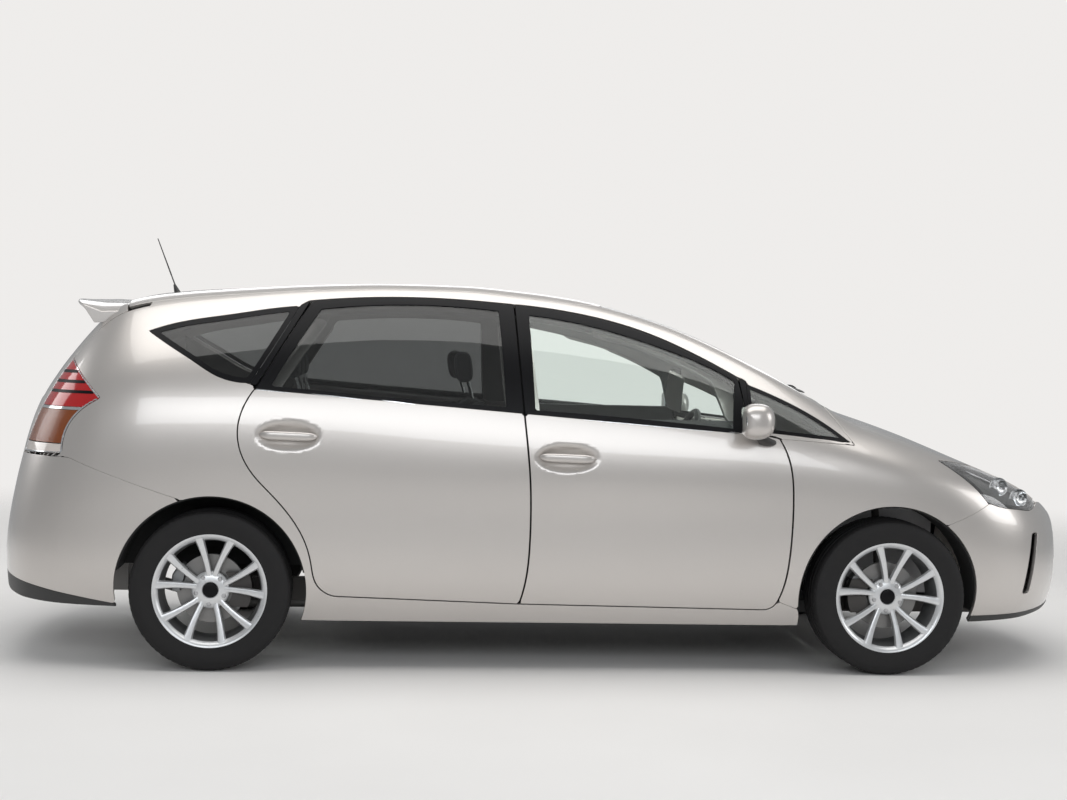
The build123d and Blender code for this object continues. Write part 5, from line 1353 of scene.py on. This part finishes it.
def applied(piece):
    """The mesh with its modifiers applied."""
    graph = bpy.context.evaluated_depsgraph_get()
    graph.update()
    mesh = bpy.data.meshes.new_from_object(piece.evaluated_get(graph))
    old = piece.data
    piece.modifiers.clear()
    piece.data = mesh
    mesh.name = piece.name
    bpy.data.meshes.remove(old)
    return piece

# ---------------------------------------------------------------- wheels and tyres

SPOKE_PAIRS = 5
FIRST_PAIR = math.radians(85)
SPOKE_AT_HUB = 0.17
SPOKE_AT_RIM = 0.306
NUT_CIRCLE = 57.15


def tyre_profile():
    """Half of a tyre's section as (radius, y), bead to crown, mirrored by the caller."""
    return [(219, 92), (226, 99), (238, 101), (262, 105), (284, 106.5), (300, 104), (311, 98), (317.5, 88),
            (320.5, 78), (321, 61), (313, 60), (313, 52), (321.8, 51), (322.6, 26), (314, 25), (314, 17),
            (323, 16), (323.2, 0)]


def make_tyre(centre):
    half = tyre_profile()
    outer = half + [(r, -y) for r, y in half[-2::-1]]
    inner = [(214, -88), (216, -60), (222, 0), (216, 60), (214, 88)]
    tyre = turned("tyre", outer + inner, centre, TREAD, 144, angle=28)
    lugs = tyre_blocks(centre)
    return joined("tyre", [tyre, lugs])


def tyre_blocks(centre):
    """Shoulder sipes, as thin raised ribs across both shoulders."""
    verts, faces = [], []
    for side in (-1, 1):
        for k in range(72):
            a = 2 * math.pi * (k + (0.5 if side > 0 else 0)) / 72
            start = len(verts)
            for r0, r1, y in ((314.0, 316.6, 92), (318.5, 320.8, 80), (319.8, 321.9, 64)):
                for da in (-0.021, 0.021):
                    for r in (r0 - 4, r1):
                        lean = a + da + (92 - y) * 0.0009 * side
                        verts.append((centre[0] + r * math.cos(lean), centre[1] + side * y,
                                      centre[2] + r * math.sin(lean)))
            for j in range(2):
                o = start + 4 * j
                faces += [[o, o + 4, o + 5, o + 1], [o + 2, o + 3, o + 7, o + 6],
                          [o + 1, o + 5, o + 7, o + 3], [o, o + 2, o + 6, o + 4]]
            faces += [[start, start + 1, start + 3, start + 2],
                      [start + 8, start + 10, start + 11, start + 9]]
    return mesh_object("lugs", verts, faces, TREAD, smooth=False)


def make_rim(centre, side):
    """The barrel with its outer lip, turned so that side faces out."""
    profile = [(226, 84), (223, 70), (216, 60), (206, 40), (200, 10), (200, -40),
               (216, -80), (231, -97), (226, -99), (208, -84), (193, -42), (193, 8), (199, 38),
               (205, 60), (212, 78), (218, 84)]
    barrel = turned("rim", [(r, side * y) for r, y in profile], centre, BARREL, 128, angle=40)
    lip = [(205, 80), (210, 88), (218, 95), (226, 99.5), (231, 99), (233.5, 95), (231, 88), (214, 74)]
    return barrel, turned("lip", [(r, side * y) for r, y in lip], centre, ALLOY, 128, angle=60)


def spoke(centre, side, hub_angle, rim_angle):
    """One tapered spoke, hollow-cheeked, from the hub to the rim."""
    rings = []
    for t in np.linspace(0, 1, 13):
        radius = 46 + 172 * t
        angle = hub_angle + (rim_angle - hub_angle) * t**0.8
        half = 9 + 8.5 * t + 3 * t**7 + 4 * (1 - t) ** 4
        face = 61 + 32 * t**1.3 + 3 * math.sin(math.pi * t)
        deep = 34 - 16 * t
        c, s = math.cos(angle), math.sin(angle)
        ring = []
        for across, down in ((-1, 11), (-0.7, 1.2), (-0.35, 0), (0.35, 0), (0.7, 1.2), (1, 11), (0.72, deep),
                             (-0.72, deep)):
            ring.append((centre[0] + radius * c - across * half * s, centre[1] + side * (face - down),
                         centre[2] + radius * s + across * half * c))
        rings.append(ring)
    return skin("spoke", rings, ALLOY, angle=38)


def make_wheel(centre, side):
    barrel, lip = make_rim(centre, side)
    parts = [lip]
    hub = [(30, 63), (34, 66), (52, 64), (70, 58), (76, 50), (74, 34), (60, 28), (30, 26)]
    parts.append(turned("hub", [(r, side * y) for r, y in hub], centre, ALLOY, 80, angle=35))
    for k in range(SPOKE_PAIRS):
        middle = FIRST_PAIR + 2 * math.pi * k / SPOKE_PAIRS
        for lean in (-1, 1):
            parts.append(spoke(centre, side, middle + lean * SPOKE_AT_HUB,
                               middle + lean * SPOKE_AT_RIM))
    wheel = joined("wheel", parts)
    nuts = []
    for k in range(SPOKE_PAIRS):
        a = FIRST_PAIR + 2 * math.pi * (k + 0.5) / SPOKE_PAIRS
        place = (centre[0] + NUT_CIRCLE * math.cos(a), centre[1], centre[2] + NUT_CIRCLE * math.sin(a))
        nuts.append(turned("nut", [(0.5, side * 66), (7, side * 66), (10, side * 63), (11, side * 56),
                                   (11, side * 48), (0.5, side * 48)], place, STEEL, 6, angle=20))
    cap = turned("cap", [(0.5, side * 71), (18, side * 70.4), (28, side * 68), (31, side * 64),
                         (31, side * 58), (0.5, side * 58)], centre, BLACK, 64)
    return wheel, joined("nuts", nuts), cap, barrel


def make_calliper(name, centre, side):
    """The brake calliper astride the disc, at the back of the wheel and a little above its middle."""
    rings = []
    for a in np.linspace(math.radians(138), math.radians(184), 15):
        swell = 1 - 0.35 * abs(a - math.radians(161)) / math.radians(23)
        ring = [(118, 30), (140, 33), (160, 28), (166, 10), (162, -30), (150, -40), (120, -36), (112, -20),
                (136, -16), (146, 0), (136, 18), (112, 20)]
        rings.append([(centre[0] + (140 + (r - 140) * swell) * math.cos(a), centre[1] + side * y,
                       centre[2] + (140 + (r - 140) * swell) * math.sin(a)) for r, y in ring])
    return skin(name, rings, BARREL, angle=40)


def make_brake(centre, side):
    """The brake disc, with a groove round its edge."""
    profile = [(60, 14), (138, 14), (138, 6), (134, 6), (134, 0), (138, 0), (138, -8), (60, -8)]
    return turned("disc", [(r, side * y) for r, y in profile], centre, DISC, 96)


def make_wheels():
    """What turns rides on the wheel; the calliper stays with the knuckle or the rear axle."""
    for end, x in (("front", FRONT_AXLE), ("rear", REAR_AXLE)):
        for side, sign in CORNERS.items():
            body = f"{end}_{side}_wheel_body"
            centre = (x, sign * WHEEL_Y, WHEEL_Z)
            name = f"{end}_{side}"
            alone(make_calliper(f"{name}_brake_calliper", centre, sign),
                  f"{side}_steering" if end == "front" else "body")
            wheel, nuts, cap, barrel = make_wheel(centre, sign)
            for piece, stem, slot in ((wheel, "alloy_wheel", "alloy"), (nuts, "wheel_nuts", "alloy"),
                                      (cap, "centre_cap", "gloss_black"), (barrel, "rim_barrel", "alloy"),
                                      (make_tyre(centre), "road_tyre", "tyre_rubber"),
                                      (make_brake(centre, sign), "brake_disc", "cast_metal")):
                piece.name = piece.data.name = f"{name}_{stem}"
                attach(piece, body)
                if stem == "alloy_wheel":
                    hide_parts(f"{name}_wheel")
                if stem == "road_tyre":
                    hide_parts(f"{name}_tyre")


def tyre_rubber():
    """Black rubber, paler with dust in random patches, with a fine bumpy grain."""
    m = Finish("tread_rubber")
    dust = m.noise(22.0, 5.0, 0.7)
    base = m.mix(dust, (0.007, 0.007, 0.008, 1), (0.019, 0.018, 0.018, 1))
    fine = m.noise(420.0, 4.0)
    return m.done(m.shader(base=base, rough=0.62 + dust * 0.18, specular=0.3,
                           normal=m.bump(fine, 0.15, 0.0006)))


TREAD = tyre_rubber()

# ---------------------------------------------------------------- mirrors, wipers, aerial


FRONT_DOOR_BODIES = ("front_right_door_body", "front_left_door_body")


def make_mirrors():
    """Each mirror's shell, from the stalk out to the tip, with its stalk, repeater and glass."""
    rings = []
    for y, x, z, wide, high in (
            (898, 776, 1030, 20, 22), (905, 774, 1038, 48, 54), (925, 770, 1044, 68, 68),
            (960, 766, 1048, 79, 75), (1000, 762, 1049, 76, 72), (1028, 757, 1049, 64, 62),
            (1043, 753, 1049, 45, 46), (1051, 751, 1049, 16, 18)):
        a = np.linspace(0, 2 * math.pi, 40, endpoint=False)
        c, s = np.cos(a), np.sin(a)
        c, s = (np.sign(v) * np.abs(v) ** 0.82 for v in (c, s))
        c = np.where(c < 0, np.maximum(c * 0.9, -0.72), c)
        rings.append(np.stack([x + wide * c, np.full(40, -float(y)), z + high * s], 1))
    shell = skin("mirror_shell", rings, PAINT, angle=60)
    subdivided(shell, 1)
    both(shell, "mirror_shell", ("{side}_door_mirror",), FRONT_DOOR_BODIES)
    root = skin_y(835, 962) - 12
    path = curve_through([(836, -root, 958), (826, -root - 34, 964), (796, -912, 984), (776, -930, 1006)], 14)
    stalk = swept("mirror_stalk", path, np.linspace((40, 15), (26, 14), 14), TRIM, square=2.5)
    both(stalk, "mirror_stalk", (), FRONT_DOOR_BODIES)
    run = np.linspace(0, 1, 16)
    path = [(766 + 54 * math.cos(0.25 + 0.9 * t), -(925 + 112 * t), 1030 - 14 * t * t) for t in run]
    lamp = swept("repeater", path, rounded_ends(16, (8, 6)), LENS_SOLID, square=2.4)
    both(lamp, "mirror_repeater", (), FRONT_DOOR_BODIES)
    a = np.linspace(0, 2 * math.pi, 40, endpoint=False)
    face = [[(x, -(968 + w * math.cos(t)), 1051 + h * math.sin(t)) for t in a]
            for x, w, h in ((716, 68, 56), (713, 66, 54), (712, 62, 50))]
    pane = skin("mirror_glass", face, MIRROR, angle=30)
    both(pane, "mirror_glass", (), FRONT_DOOR_BODIES)


def subdivided(piece, levels=1):
    """The piece with its faces rounded off, applied."""
    change = piece.modifiers.new("round", "SUBSURF")
    change.levels = change.render_levels = levels
    return applied(piece)


def on_screen(x, y, lift):
    """A point lift mm over the windscreen."""
    return (x, y, skin_z(x, y) + lift)


def make_wipers():
    """Two blades laid on the windscreen's foot, each on an arm from the cowl."""
    parts = []
    for start, end in (((905, 430), (1006, -150)), ((915, -170), (1015, -590))):
        ys = np.linspace(start[1], end[1], 24)
        xs = np.linspace(start[0], end[0], 24) + 26 * np.sin(np.linspace(0, math.pi, 24))
        path = [on_screen(x + 40, y, 7) for x, y in zip(xs, ys)]
        parts.append(swept("blade", path, rounded_ends(24, (5, 5)), TRIM, points=10))
        middle = path[12]
        pivot = on_screen(1110, start[1] * 0.5 + end[1] * 0.5 + 260 * (1 if start[1] > 0 else 0.4), 6)
        halfway = ((pivot[0] + middle[0]) / 2, (pivot[1] + middle[1]) / 2, (pivot[2] + middle[2]) / 2 + 14)
        arm = curve_through([pivot, halfway, (middle[0], middle[1], middle[2] + 5)], 12)
        parts.append(swept("arm", arm, (7, 4), TRIM, points=12))
    alone(joined("wiper_set", parts), nodes=("wipers",))


def make_aerial():
    """A thin rod that leans back from a low mount on the roof."""
    base = np.array((-1655.0, 0.0, skin_z(-1655, 0) - 4))
    tip = np.array((-1745.0, 0.0, 1768.0))
    foot = base + np.array((-4, 0, 16))
    mount = swept("mount", [base + (tip - base) * t * 0.16 for t in np.linspace(0, 1, 9)],
                  np.linspace((26, 15), (5, 5), 9) * np.array((0.55, 1.0)), TRIM, up=(1, 0, 0))
    rod = swept("rod", [foot + (tip - foot) * t for t in np.linspace(0, 1, 30)],
                [(3.2 - 1.6 * t + (0.5 if 0.3 < t else 0),) * 2 for t in np.linspace(0, 1, 30)], TRIM,
                up=(1, 0, 0), points=12)
    alone(joined("roof_aerial", [mount, rod]), nodes=("antenna",))


LENS_SOLID = gloss("repeater_lens", (0.72, 0.71, 0.70), rough=0.08)
MIRROR = metal("silvered_glass", (0.80, 0.82, 0.83), rough=0.03, brushed=4.0)

# ---------------------------------------------------------------- seats


def seat_cloth():
    """Dark woven cloth with a paler fleck."""
    m = Finish("seat_weave")
    across = (m.axis(0) * 2600.0).sine() * (m.axis(1) * 2600.0).sine()
    upward = (m.axis(2) * 2600.0).sine()
    weave = (across + upward * 0.7).absolute().clamped()
    fleck = m.noise(90.0, 4.0)
    base = m.mix(weave * 0.45 + fleck * 0.35, (0.014, 0.014, 0.016, 1), (0.075, 0.073, 0.072, 1))
    return m.done(m.shader(base=base, rough=0.86 + fleck * 0.1, sheen=0.25,
                           normal=m.bump(weave, 0.35, 0.0006)))


CLOTH = seat_cloth()


def pillow(name, size, place, tilt, bow=0.0, bolster=0.0, plump=26.0, seams=3):
    """A crowned cushion of (depth, width, thickness), tilted about Y and placed at its middle, in mm."""
    edit = bmesh.new()
    bmesh.ops.create_cube(edit, size=1.0)
    bmesh.ops.subdivide_edges(edit, edges=edit.edges[:], cuts=7, use_grid_fill=True)
    for v in edit.verts:
        x, y, z = v.co * 2
        round_off = 1 - 0.10 * (abs(x) ** 4) * (abs(y) ** 4)
        wing = bolster * max(0.0, abs(y) - 0.55) / 0.45 * (z > 0)
        dome = (1 - x**4) * (1 - y**4) * 0.10 * z
        v.co = Vector((size[0] / 2 * x * round_off, size[1] / 2 * y * round_off * (1 - bow * (x > 0) * x),
                       size[2] / 2 * (z + dome) * (1 - 0.16 * max(abs(x), abs(y)) ** 6) + wing)) * MM
    mesh = bpy.data.meshes.new(name)
    edit.to_mesh(mesh)
    edit.free()
    mesh.materials.append(CLOTH)
    piece = bpy.data.objects.new(name, mesh)
    bpy.context.scene.collection.objects.link(piece)
    subdivided(piece, 1)
    plumped(piece, plump)
    channels(piece, size, seams)
    turn = Matrix.Translation(Vector(place) * MM) @ Matrix.Rotation(math.radians(tilt), 4, "Y")
    piece.data.transform(turn)
    piece.data.shade_smooth()
    return piece


def plumped(piece, cap):
    """The cushion blown up as cloth, with no point moving more than cap mm."""
    change = piece.modifiers.new("even", "REMESH")
    change.mode, change.voxel_size = "VOXEL", 0.0095
    applied(piece)
    before = np.zeros(len(piece.data.vertices) * 3)
    piece.data.vertices.foreach_get("co", before)
    scene = bpy.context.scene
    cloth = piece.modifiers.new("cloth", "CLOTH")
    cloth.settings.use_pressure = True
    cloth.settings.uniform_pressure_force = 4.0
    cloth.settings.effector_weights.gravity = 0.0
    cloth.settings.quality = 4
    for number in range(1, 15):
        scene.frame_set(number)
    graph = bpy.context.evaluated_depsgraph_get()
    swollen = piece.evaluated_get(graph).to_mesh()
    after = np.zeros(len(swollen.vertices) * 3)
    swollen.vertices.foreach_get("co", after)
    piece.modifiers.clear()
    moved = (after - before).reshape(-1, 3)
    length = np.linalg.norm(moved, axis=1, keepdims=True)
    moved *= np.minimum(1, cap * MM / np.maximum(length, 1e-9))
    piece.data.vertices.foreach_set("co", (before + moved.ravel()))
    piece.data.update()
    scene.frame_set(1)
    subdivided(piece, 1)


def channels(piece, size, seams):
    """Sewn lines pressed into the top: across the middle panel, and down both bolsters."""
    count = len(piece.data.vertices)
    co = np.zeros(count * 3)
    piece.data.vertices.foreach_get("co", co)
    co = co.reshape(-1, 3)
    x, y, z = (co / MM).T
    top = np.clip(z / (size[2] * 0.3), 0, 1)
    press = np.zeros(count)
    for k in range(seams):
        at = size[0] * (-0.5 + (k + 1) / (seams + 1))
        press = np.maximum(press, np.exp(-((x - at) / 6.0) ** 2) * (np.abs(y) < size[1] * 0.29))
    press = np.maximum(press, np.exp(-((np.abs(y) - size[1] * 0.3) / 6.0) ** 2))
    co[:, 2] -= 7.0 * MM * press * top
    piece.data.vertices.foreach_set("co", co.ravel())
    piece.data.update()


def seat(stem, x, y, width, node=None, rests=(0,)):
    """A seat cushion, a backrest and headrests on two posts each."""
    pieces = [
        ("base", pillow("seat", (440, width - 60, 106), (x + 60, y, 470), -4, bolster=22, seams=3)),
        ("back", pillow("seat", (560, width - 70, 96), (x - 272, y, 820), 256, bolster=24, seams=4)),
    ]
    for k, offset in enumerate(rests):
        number = f"_{k + 1}" if len(rests) > 1 else ""
        head = pillow("seat", (126, 226, 62), (x - 391, y + offset, 1232), 262, plump=10.0, seams=0)
        pieces.append(("headrest" + number, head))
    for part, piece in pieces:
        piece.name = piece.data.name = f"{stem}_{part}"
        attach(piece, "body")
    if node:
        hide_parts(node)
    posts = [swept("post", curve_through([(x - 350, across, 1100), (x - 378, across, 1200)], 6),
                   (5.5, 5.5), CHROME, up=(0, 1, 0), points=12)
             for across in (y + offset + s for offset in rests for s in (-52, 52))]
    alone(joined(f"{stem}_headrest_posts", posts))
    base = skin("base", [
        [(x - 190 + dx, y + dy * (width / 2 - 55), z) for dx, dy in
         ((0, -1), (380, -1), (400, -0.9), (400, 0.9), (380, 1), (0, 1), (-20, 0.9), (-20, -0.9))]
        for z in (254, 330, 400)], CABIN, angle=30)
    alone(joined(f"{stem}_plinth", [base]))


def make_seats():
    seat("driver_seat", 0, -370, 490, "front_seats")
    seat("passenger_seat", 0, 370, 490)
    seat("rear_bench", -735, 0, 1200, "rear_seats", rests=(-390, 0, 390))


# ---------------------------------------------------------------- dashboard and steering wheel

COLUMN_TILT = math.radians(25)
HUB = np.array((560.0, -370.0, 905.0))
AWAY = np.array((math.cos(COLUMN_TILT), 0, -math.sin(COLUMN_TILT)))
ACROSS = np.array((0.0, 1.0, 0.0))
UPRIGHT = np.cross(AWAY, ACROSS)
if UPRIGHT[2] < 0:
    UPRIGHT = -UPRIGHT


def make_dashboard():
    """The padded top with a hood over the dials, the column, console, display and selector."""
    rings = []
    for y in np.linspace(-1, 1, 49):
        half = 690
        hood = 34 * math.exp(-((y * half + 370) / 190) ** 4)
        edge = 1 - 0.10 * abs(y) ** 8
        section = [(1135, 905), (1040, 930), (930, 950 + 0.5 * hood), (840, 938 + hood),
                   (790 - 0.4 * hood, 912 + hood), (768, 884), (764, 860), (758, 838), (764, 826),
                   (752, 806), (746, 740), (756, 690), (800, 628), (930, 576), (1040, 572), (1135, 620)]
        rings.append([(x, y * half * edge, z) for x, z in section])
    top = subdivided(skin("dash_top", rings, CABIN), 1)
    alone(top, nodes=("dashboard",))
    column = swept("shroud", [HUB + AWAY * t for t in (38, 60, 110, 190, 270)],
                   [(30, 32), (42, 46), (44, 50), (42, 48), (36, 40)], TRIM, up=(0, 0, 1), square=3)
    alone(joined("column_shroud", [column]))
    console = skin("console", [
        [(x, -w, 262), (x, -w, z - 24), (x, -w + 18, z), (x, w - 18, z), (x, w, z - 24), (x, w, 262)]
        for x, w, z in ((-250, 96, 520), (-200, 104, 556), (60, 108, 560), (240, 106, 520),
                        (480, 104, 548), (640, 108, 620), (770, 112, 760))], CABIN, angle=40)
    alone(joined("centre_console", [console]))
    outline = ((-118, 858), (118, 858), (124, 866), (124, 962), (118, 970), (-118, 970), (-124, 962),
               (-124, 866))
    screen = skin("screen", [[(x, y, z) for y, z in outline] for x in (736, 752)], BLACK, angle=30)
    alone(joined("centre_display", [screen]))
    lever = swept("lever", curve_through([(640, -30, 640), (610, -30, 700), (596, -30, 742)], 10),
                  np.linspace((8, 8), (19, 19), 10), TRIM, up=(0, 1, 0))
    alone(joined("drive_selector", [lever]))


def rim_point(radius, angle, depth=0.0):
    """A point round the steering wheel's hub, depth mm down the column."""
    return HUB + ACROSS * radius * math.cos(angle) + UPRIGHT * radius * math.sin(angle) + AWAY * depth


def make_steering_wheel():
    rings = []
    for a in np.linspace(0, 2 * math.pi, 97)[:-1]:
        grip = 14.2 + 1.4 * math.exp(-((math.sin(a) - 0.35) / 0.2) ** 2)
        rings.append([rim_point(170 + grip * math.cos(b), a, grip * math.sin(b))
                      for b in np.linspace(0, 2 * math.pi, 20, endpoint=False)])
    rim = skin("rim", rings + rings[:1], TRIM, ends=False)
    pad = []
    for depth, scale in ((-20, 0.72), (-16, 0.94), (-6, 1.04), (12, 1.0), (34, 0.72)):
        pad.append([rim_point(0, 0, depth) + ACROSS * 76 * scale * c + UPRIGHT * (60 * scale * s - 6)
                    for c, s in ((math.copysign(abs(math.cos(t)) ** 0.6, math.cos(t)),
                                  math.copysign(abs(math.sin(t)) ** 0.7, math.sin(t)))
                                 for t in np.linspace(0, 2 * math.pi, 40, endpoint=False))])
    pieces = [rim, skin("pad", pad, TRIM, angle=60)]
    for a in (math.pi * 0.98, math.pi * 0.02, math.pi * 1.5):
        path = [rim_point(r, a, 4 - 4 * r / 165) for r in np.linspace(48, 160, 9)]
        pieces.append(swept("arm", path, np.linspace((19, 9), (13, 8), 9), TRIM, up=AWAY))
    wheel = joined("steering_wheel_rim", pieces)
    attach(wheel, "steering_wheel_body")
    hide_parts("steering_wheel")


# ---------------------------------------------------------------- underbody, carried over from the CAD

CARRIED = {
    "floor_pan": plastic("underbody_paint", 0.05, rough=0.7, grain=160.0, depth=0.5),
    "wheel_arch_liners": LINER, "front_subframe": CAST, "rear_axle": CAST,
    "exhaust": metal("sooty_steel", (0.22, 0.215, 0.21), rough=0.5),
    "engine": metal("engine_alloy", (0.42, 0.42, 0.43), rough=0.5), "front_left_knuckle": CAST,
    "front_right_knuckle": CAST,
}


def dress_carried():
    """Finishes for the CAD pieces that stay."""
    for node, material in CARRIED.items():
        for obj in carried_objects(node):
            obj.data.materials.clear()
            obj.data.materials.append(material)


def carried_objects(node):
    return [o for o in bpy.data.objects
            if o.type == "MESH" and (o.name == node or o.name.startswith(node + "["))]


# ---------------------------------------------------------------- stage, lamps and camera


def make_stage():
    """A flat pale floor that fades out away from the car."""
    m = Finish("pale_floor")
    haze = m.noise(0.8, 3.0)
    base = m.mix(haze, (0.78, 0.77, 0.76, 1), (0.84, 0.83, 0.82, 1))
    away = m.node("ShaderNodeVectorMath", {"operation": "LENGTH"}, {0: m.place()}, out=1).ramp(3.2, 8.5)
    floor_finish = m.done(m.node("ShaderNodeMixShader", {}, {
        0: away, 1: m.shader(base=base, rough=0.55 + haze * 0.1),
        2: m.node("ShaderNodeBsdfTransparent", {}, {})}))
    a = np.linspace(0, 2 * math.pi, 96, endpoint=False)
    rim = np.stack([40000 * np.cos(a), 40000 * np.sin(a), np.zeros(96)], 1)
    floor = mesh_object("stage_floor", rim, [list(range(96))], floor_finish)


def area_lamp(name, place, aim, size, power, tint=(1, 1, 1)):
    data = bpy.data.lights.new(name, "AREA")
    data.shape, data.size, data.size_y = "RECTANGLE", size[0], size[1]
    data.energy, data.color = power, tint
    lamp = bpy.data.objects.new(name, data)
    lamp.location = place
    lamp.rotation_euler = (Vector(aim) - Vector(place)).to_track_quat("-Z", "Y").to_euler()
    bpy.context.scene.collection.objects.link(lamp)


def make_lamps():
    area_lamp("overhead_softbox", (0.0, -0.6, 5.2), (0, 0, 0.5), (7.5, 4.5), 215, (1.0, 0.985, 0.96))
    area_lamp("side_softbox", (-0.6, -7.6, 3.4), (0, 0, 0.7), (8.0, 2.2), 165, (0.94, 0.97, 1.0))
    area_lamp("front_softbox", (7.0, -2.4, 2.6), (1.0, 0, 0.8), (3.0, 2.6), 72)
    area_lamp("back_softbox", (-7.0, 1.6, 2.8), (-1.0, 0, 0.9), (3.0, 2.6), 62)
    area_lamp("far_softbox", (0.0, 4.6, 3.4), (0, 0, 0.9), (7.0, 2.0), 72)
    make_air()


AIR_STRENGTH = 0.36


def make_air():
    """Soft light all round, with a pale background behind the car, in glass and in gloss."""
    world = bpy.data.worlds.new("studio_air")
    bpy.context.scene.world = world
    m = Finish(world.name, world)
    seen = m.node("ShaderNodeLightPath", out="Is Camera Ray")
    seen = seen.larger(m.node("ShaderNodeLightPath", out="Is Transmission Ray"))
    mirrored_ray = m.node("ShaderNodeLightPath", out="Is Glossy Ray")
    soft = m.node("ShaderNodeBackground", {}, {0: (0.93, 0.94, 0.95, 1), 1: AIR_STRENGTH})
    glossy = m.node("ShaderNodeBackground", {}, {0: (0.86, 0.88, 0.90, 1), 1: AIR_STRENGTH})
    pale = m.node("ShaderNodeBackground", {}, {0: (0.86, 0.845, 0.83, 1), 1: 1.0})
    lit = m.node("ShaderNodeMixShader", {}, {0: mirrored_ray, 1: soft, 2: glossy})
    m.done(m.node("ShaderNodeMixShader", {}, {0: seen, 1: lit, 2: pale}))


EYE = (-0.74376, -7.64263, 1.34950)
YAW_PITCH_ROLL = (5.18663, -1.98841, 1.35152)
FOCAL_LENGTH = 56.87


def make_camera():
    """The eye beside the car, turned by yaw, pitch and roll in degrees from looking along +Y."""
    yaw, pitch, roll = (math.radians(a) for a in YAW_PITCH_ROLL)
    ahead = Vector((math.sin(yaw) * math.cos(pitch), math.cos(yaw) * math.cos(pitch), math.sin(pitch)))
    right = Vector((math.cos(yaw), -math.sin(yaw), 0))
    up = right.cross(ahead)
    right, up = (right * math.cos(roll) + up * math.sin(roll), up * math.cos(roll) - right * math.sin(roll))
    data = bpy.data.cameras.new("side_view")
    data.lens, data.sensor_width = FOCAL_LENGTH, 36.0
    camera = bpy.data.objects.new("camera", data)
    turn = Matrix((right, up, -ahead)).transposed().to_4x4()
    camera.matrix_world = Matrix.Translation(EYE) @ turn
    bpy.context.scene.collection.objects.link(camera)
    bpy.context.scene.camera = camera
    bpy.context.scene.view_settings.view_transform = "Standard"


# ---------------------------------------------------------------- making

make_camera()
make_lamps()
make_stage()
make_doors()
make_body_sides()
make_quarter_glass()
make_roof()
make_bonnet()
make_fenders()
make_front_bumper()
make_headlamps()
make_tail_lamps()
make_tailgate()
make_rear_bumper()
make_spoiler()
make_wheels()
make_mirrors()
make_wipers()
make_aerial()
make_seats()
make_dashboard()
make_steering_wheel()
dress_carried()
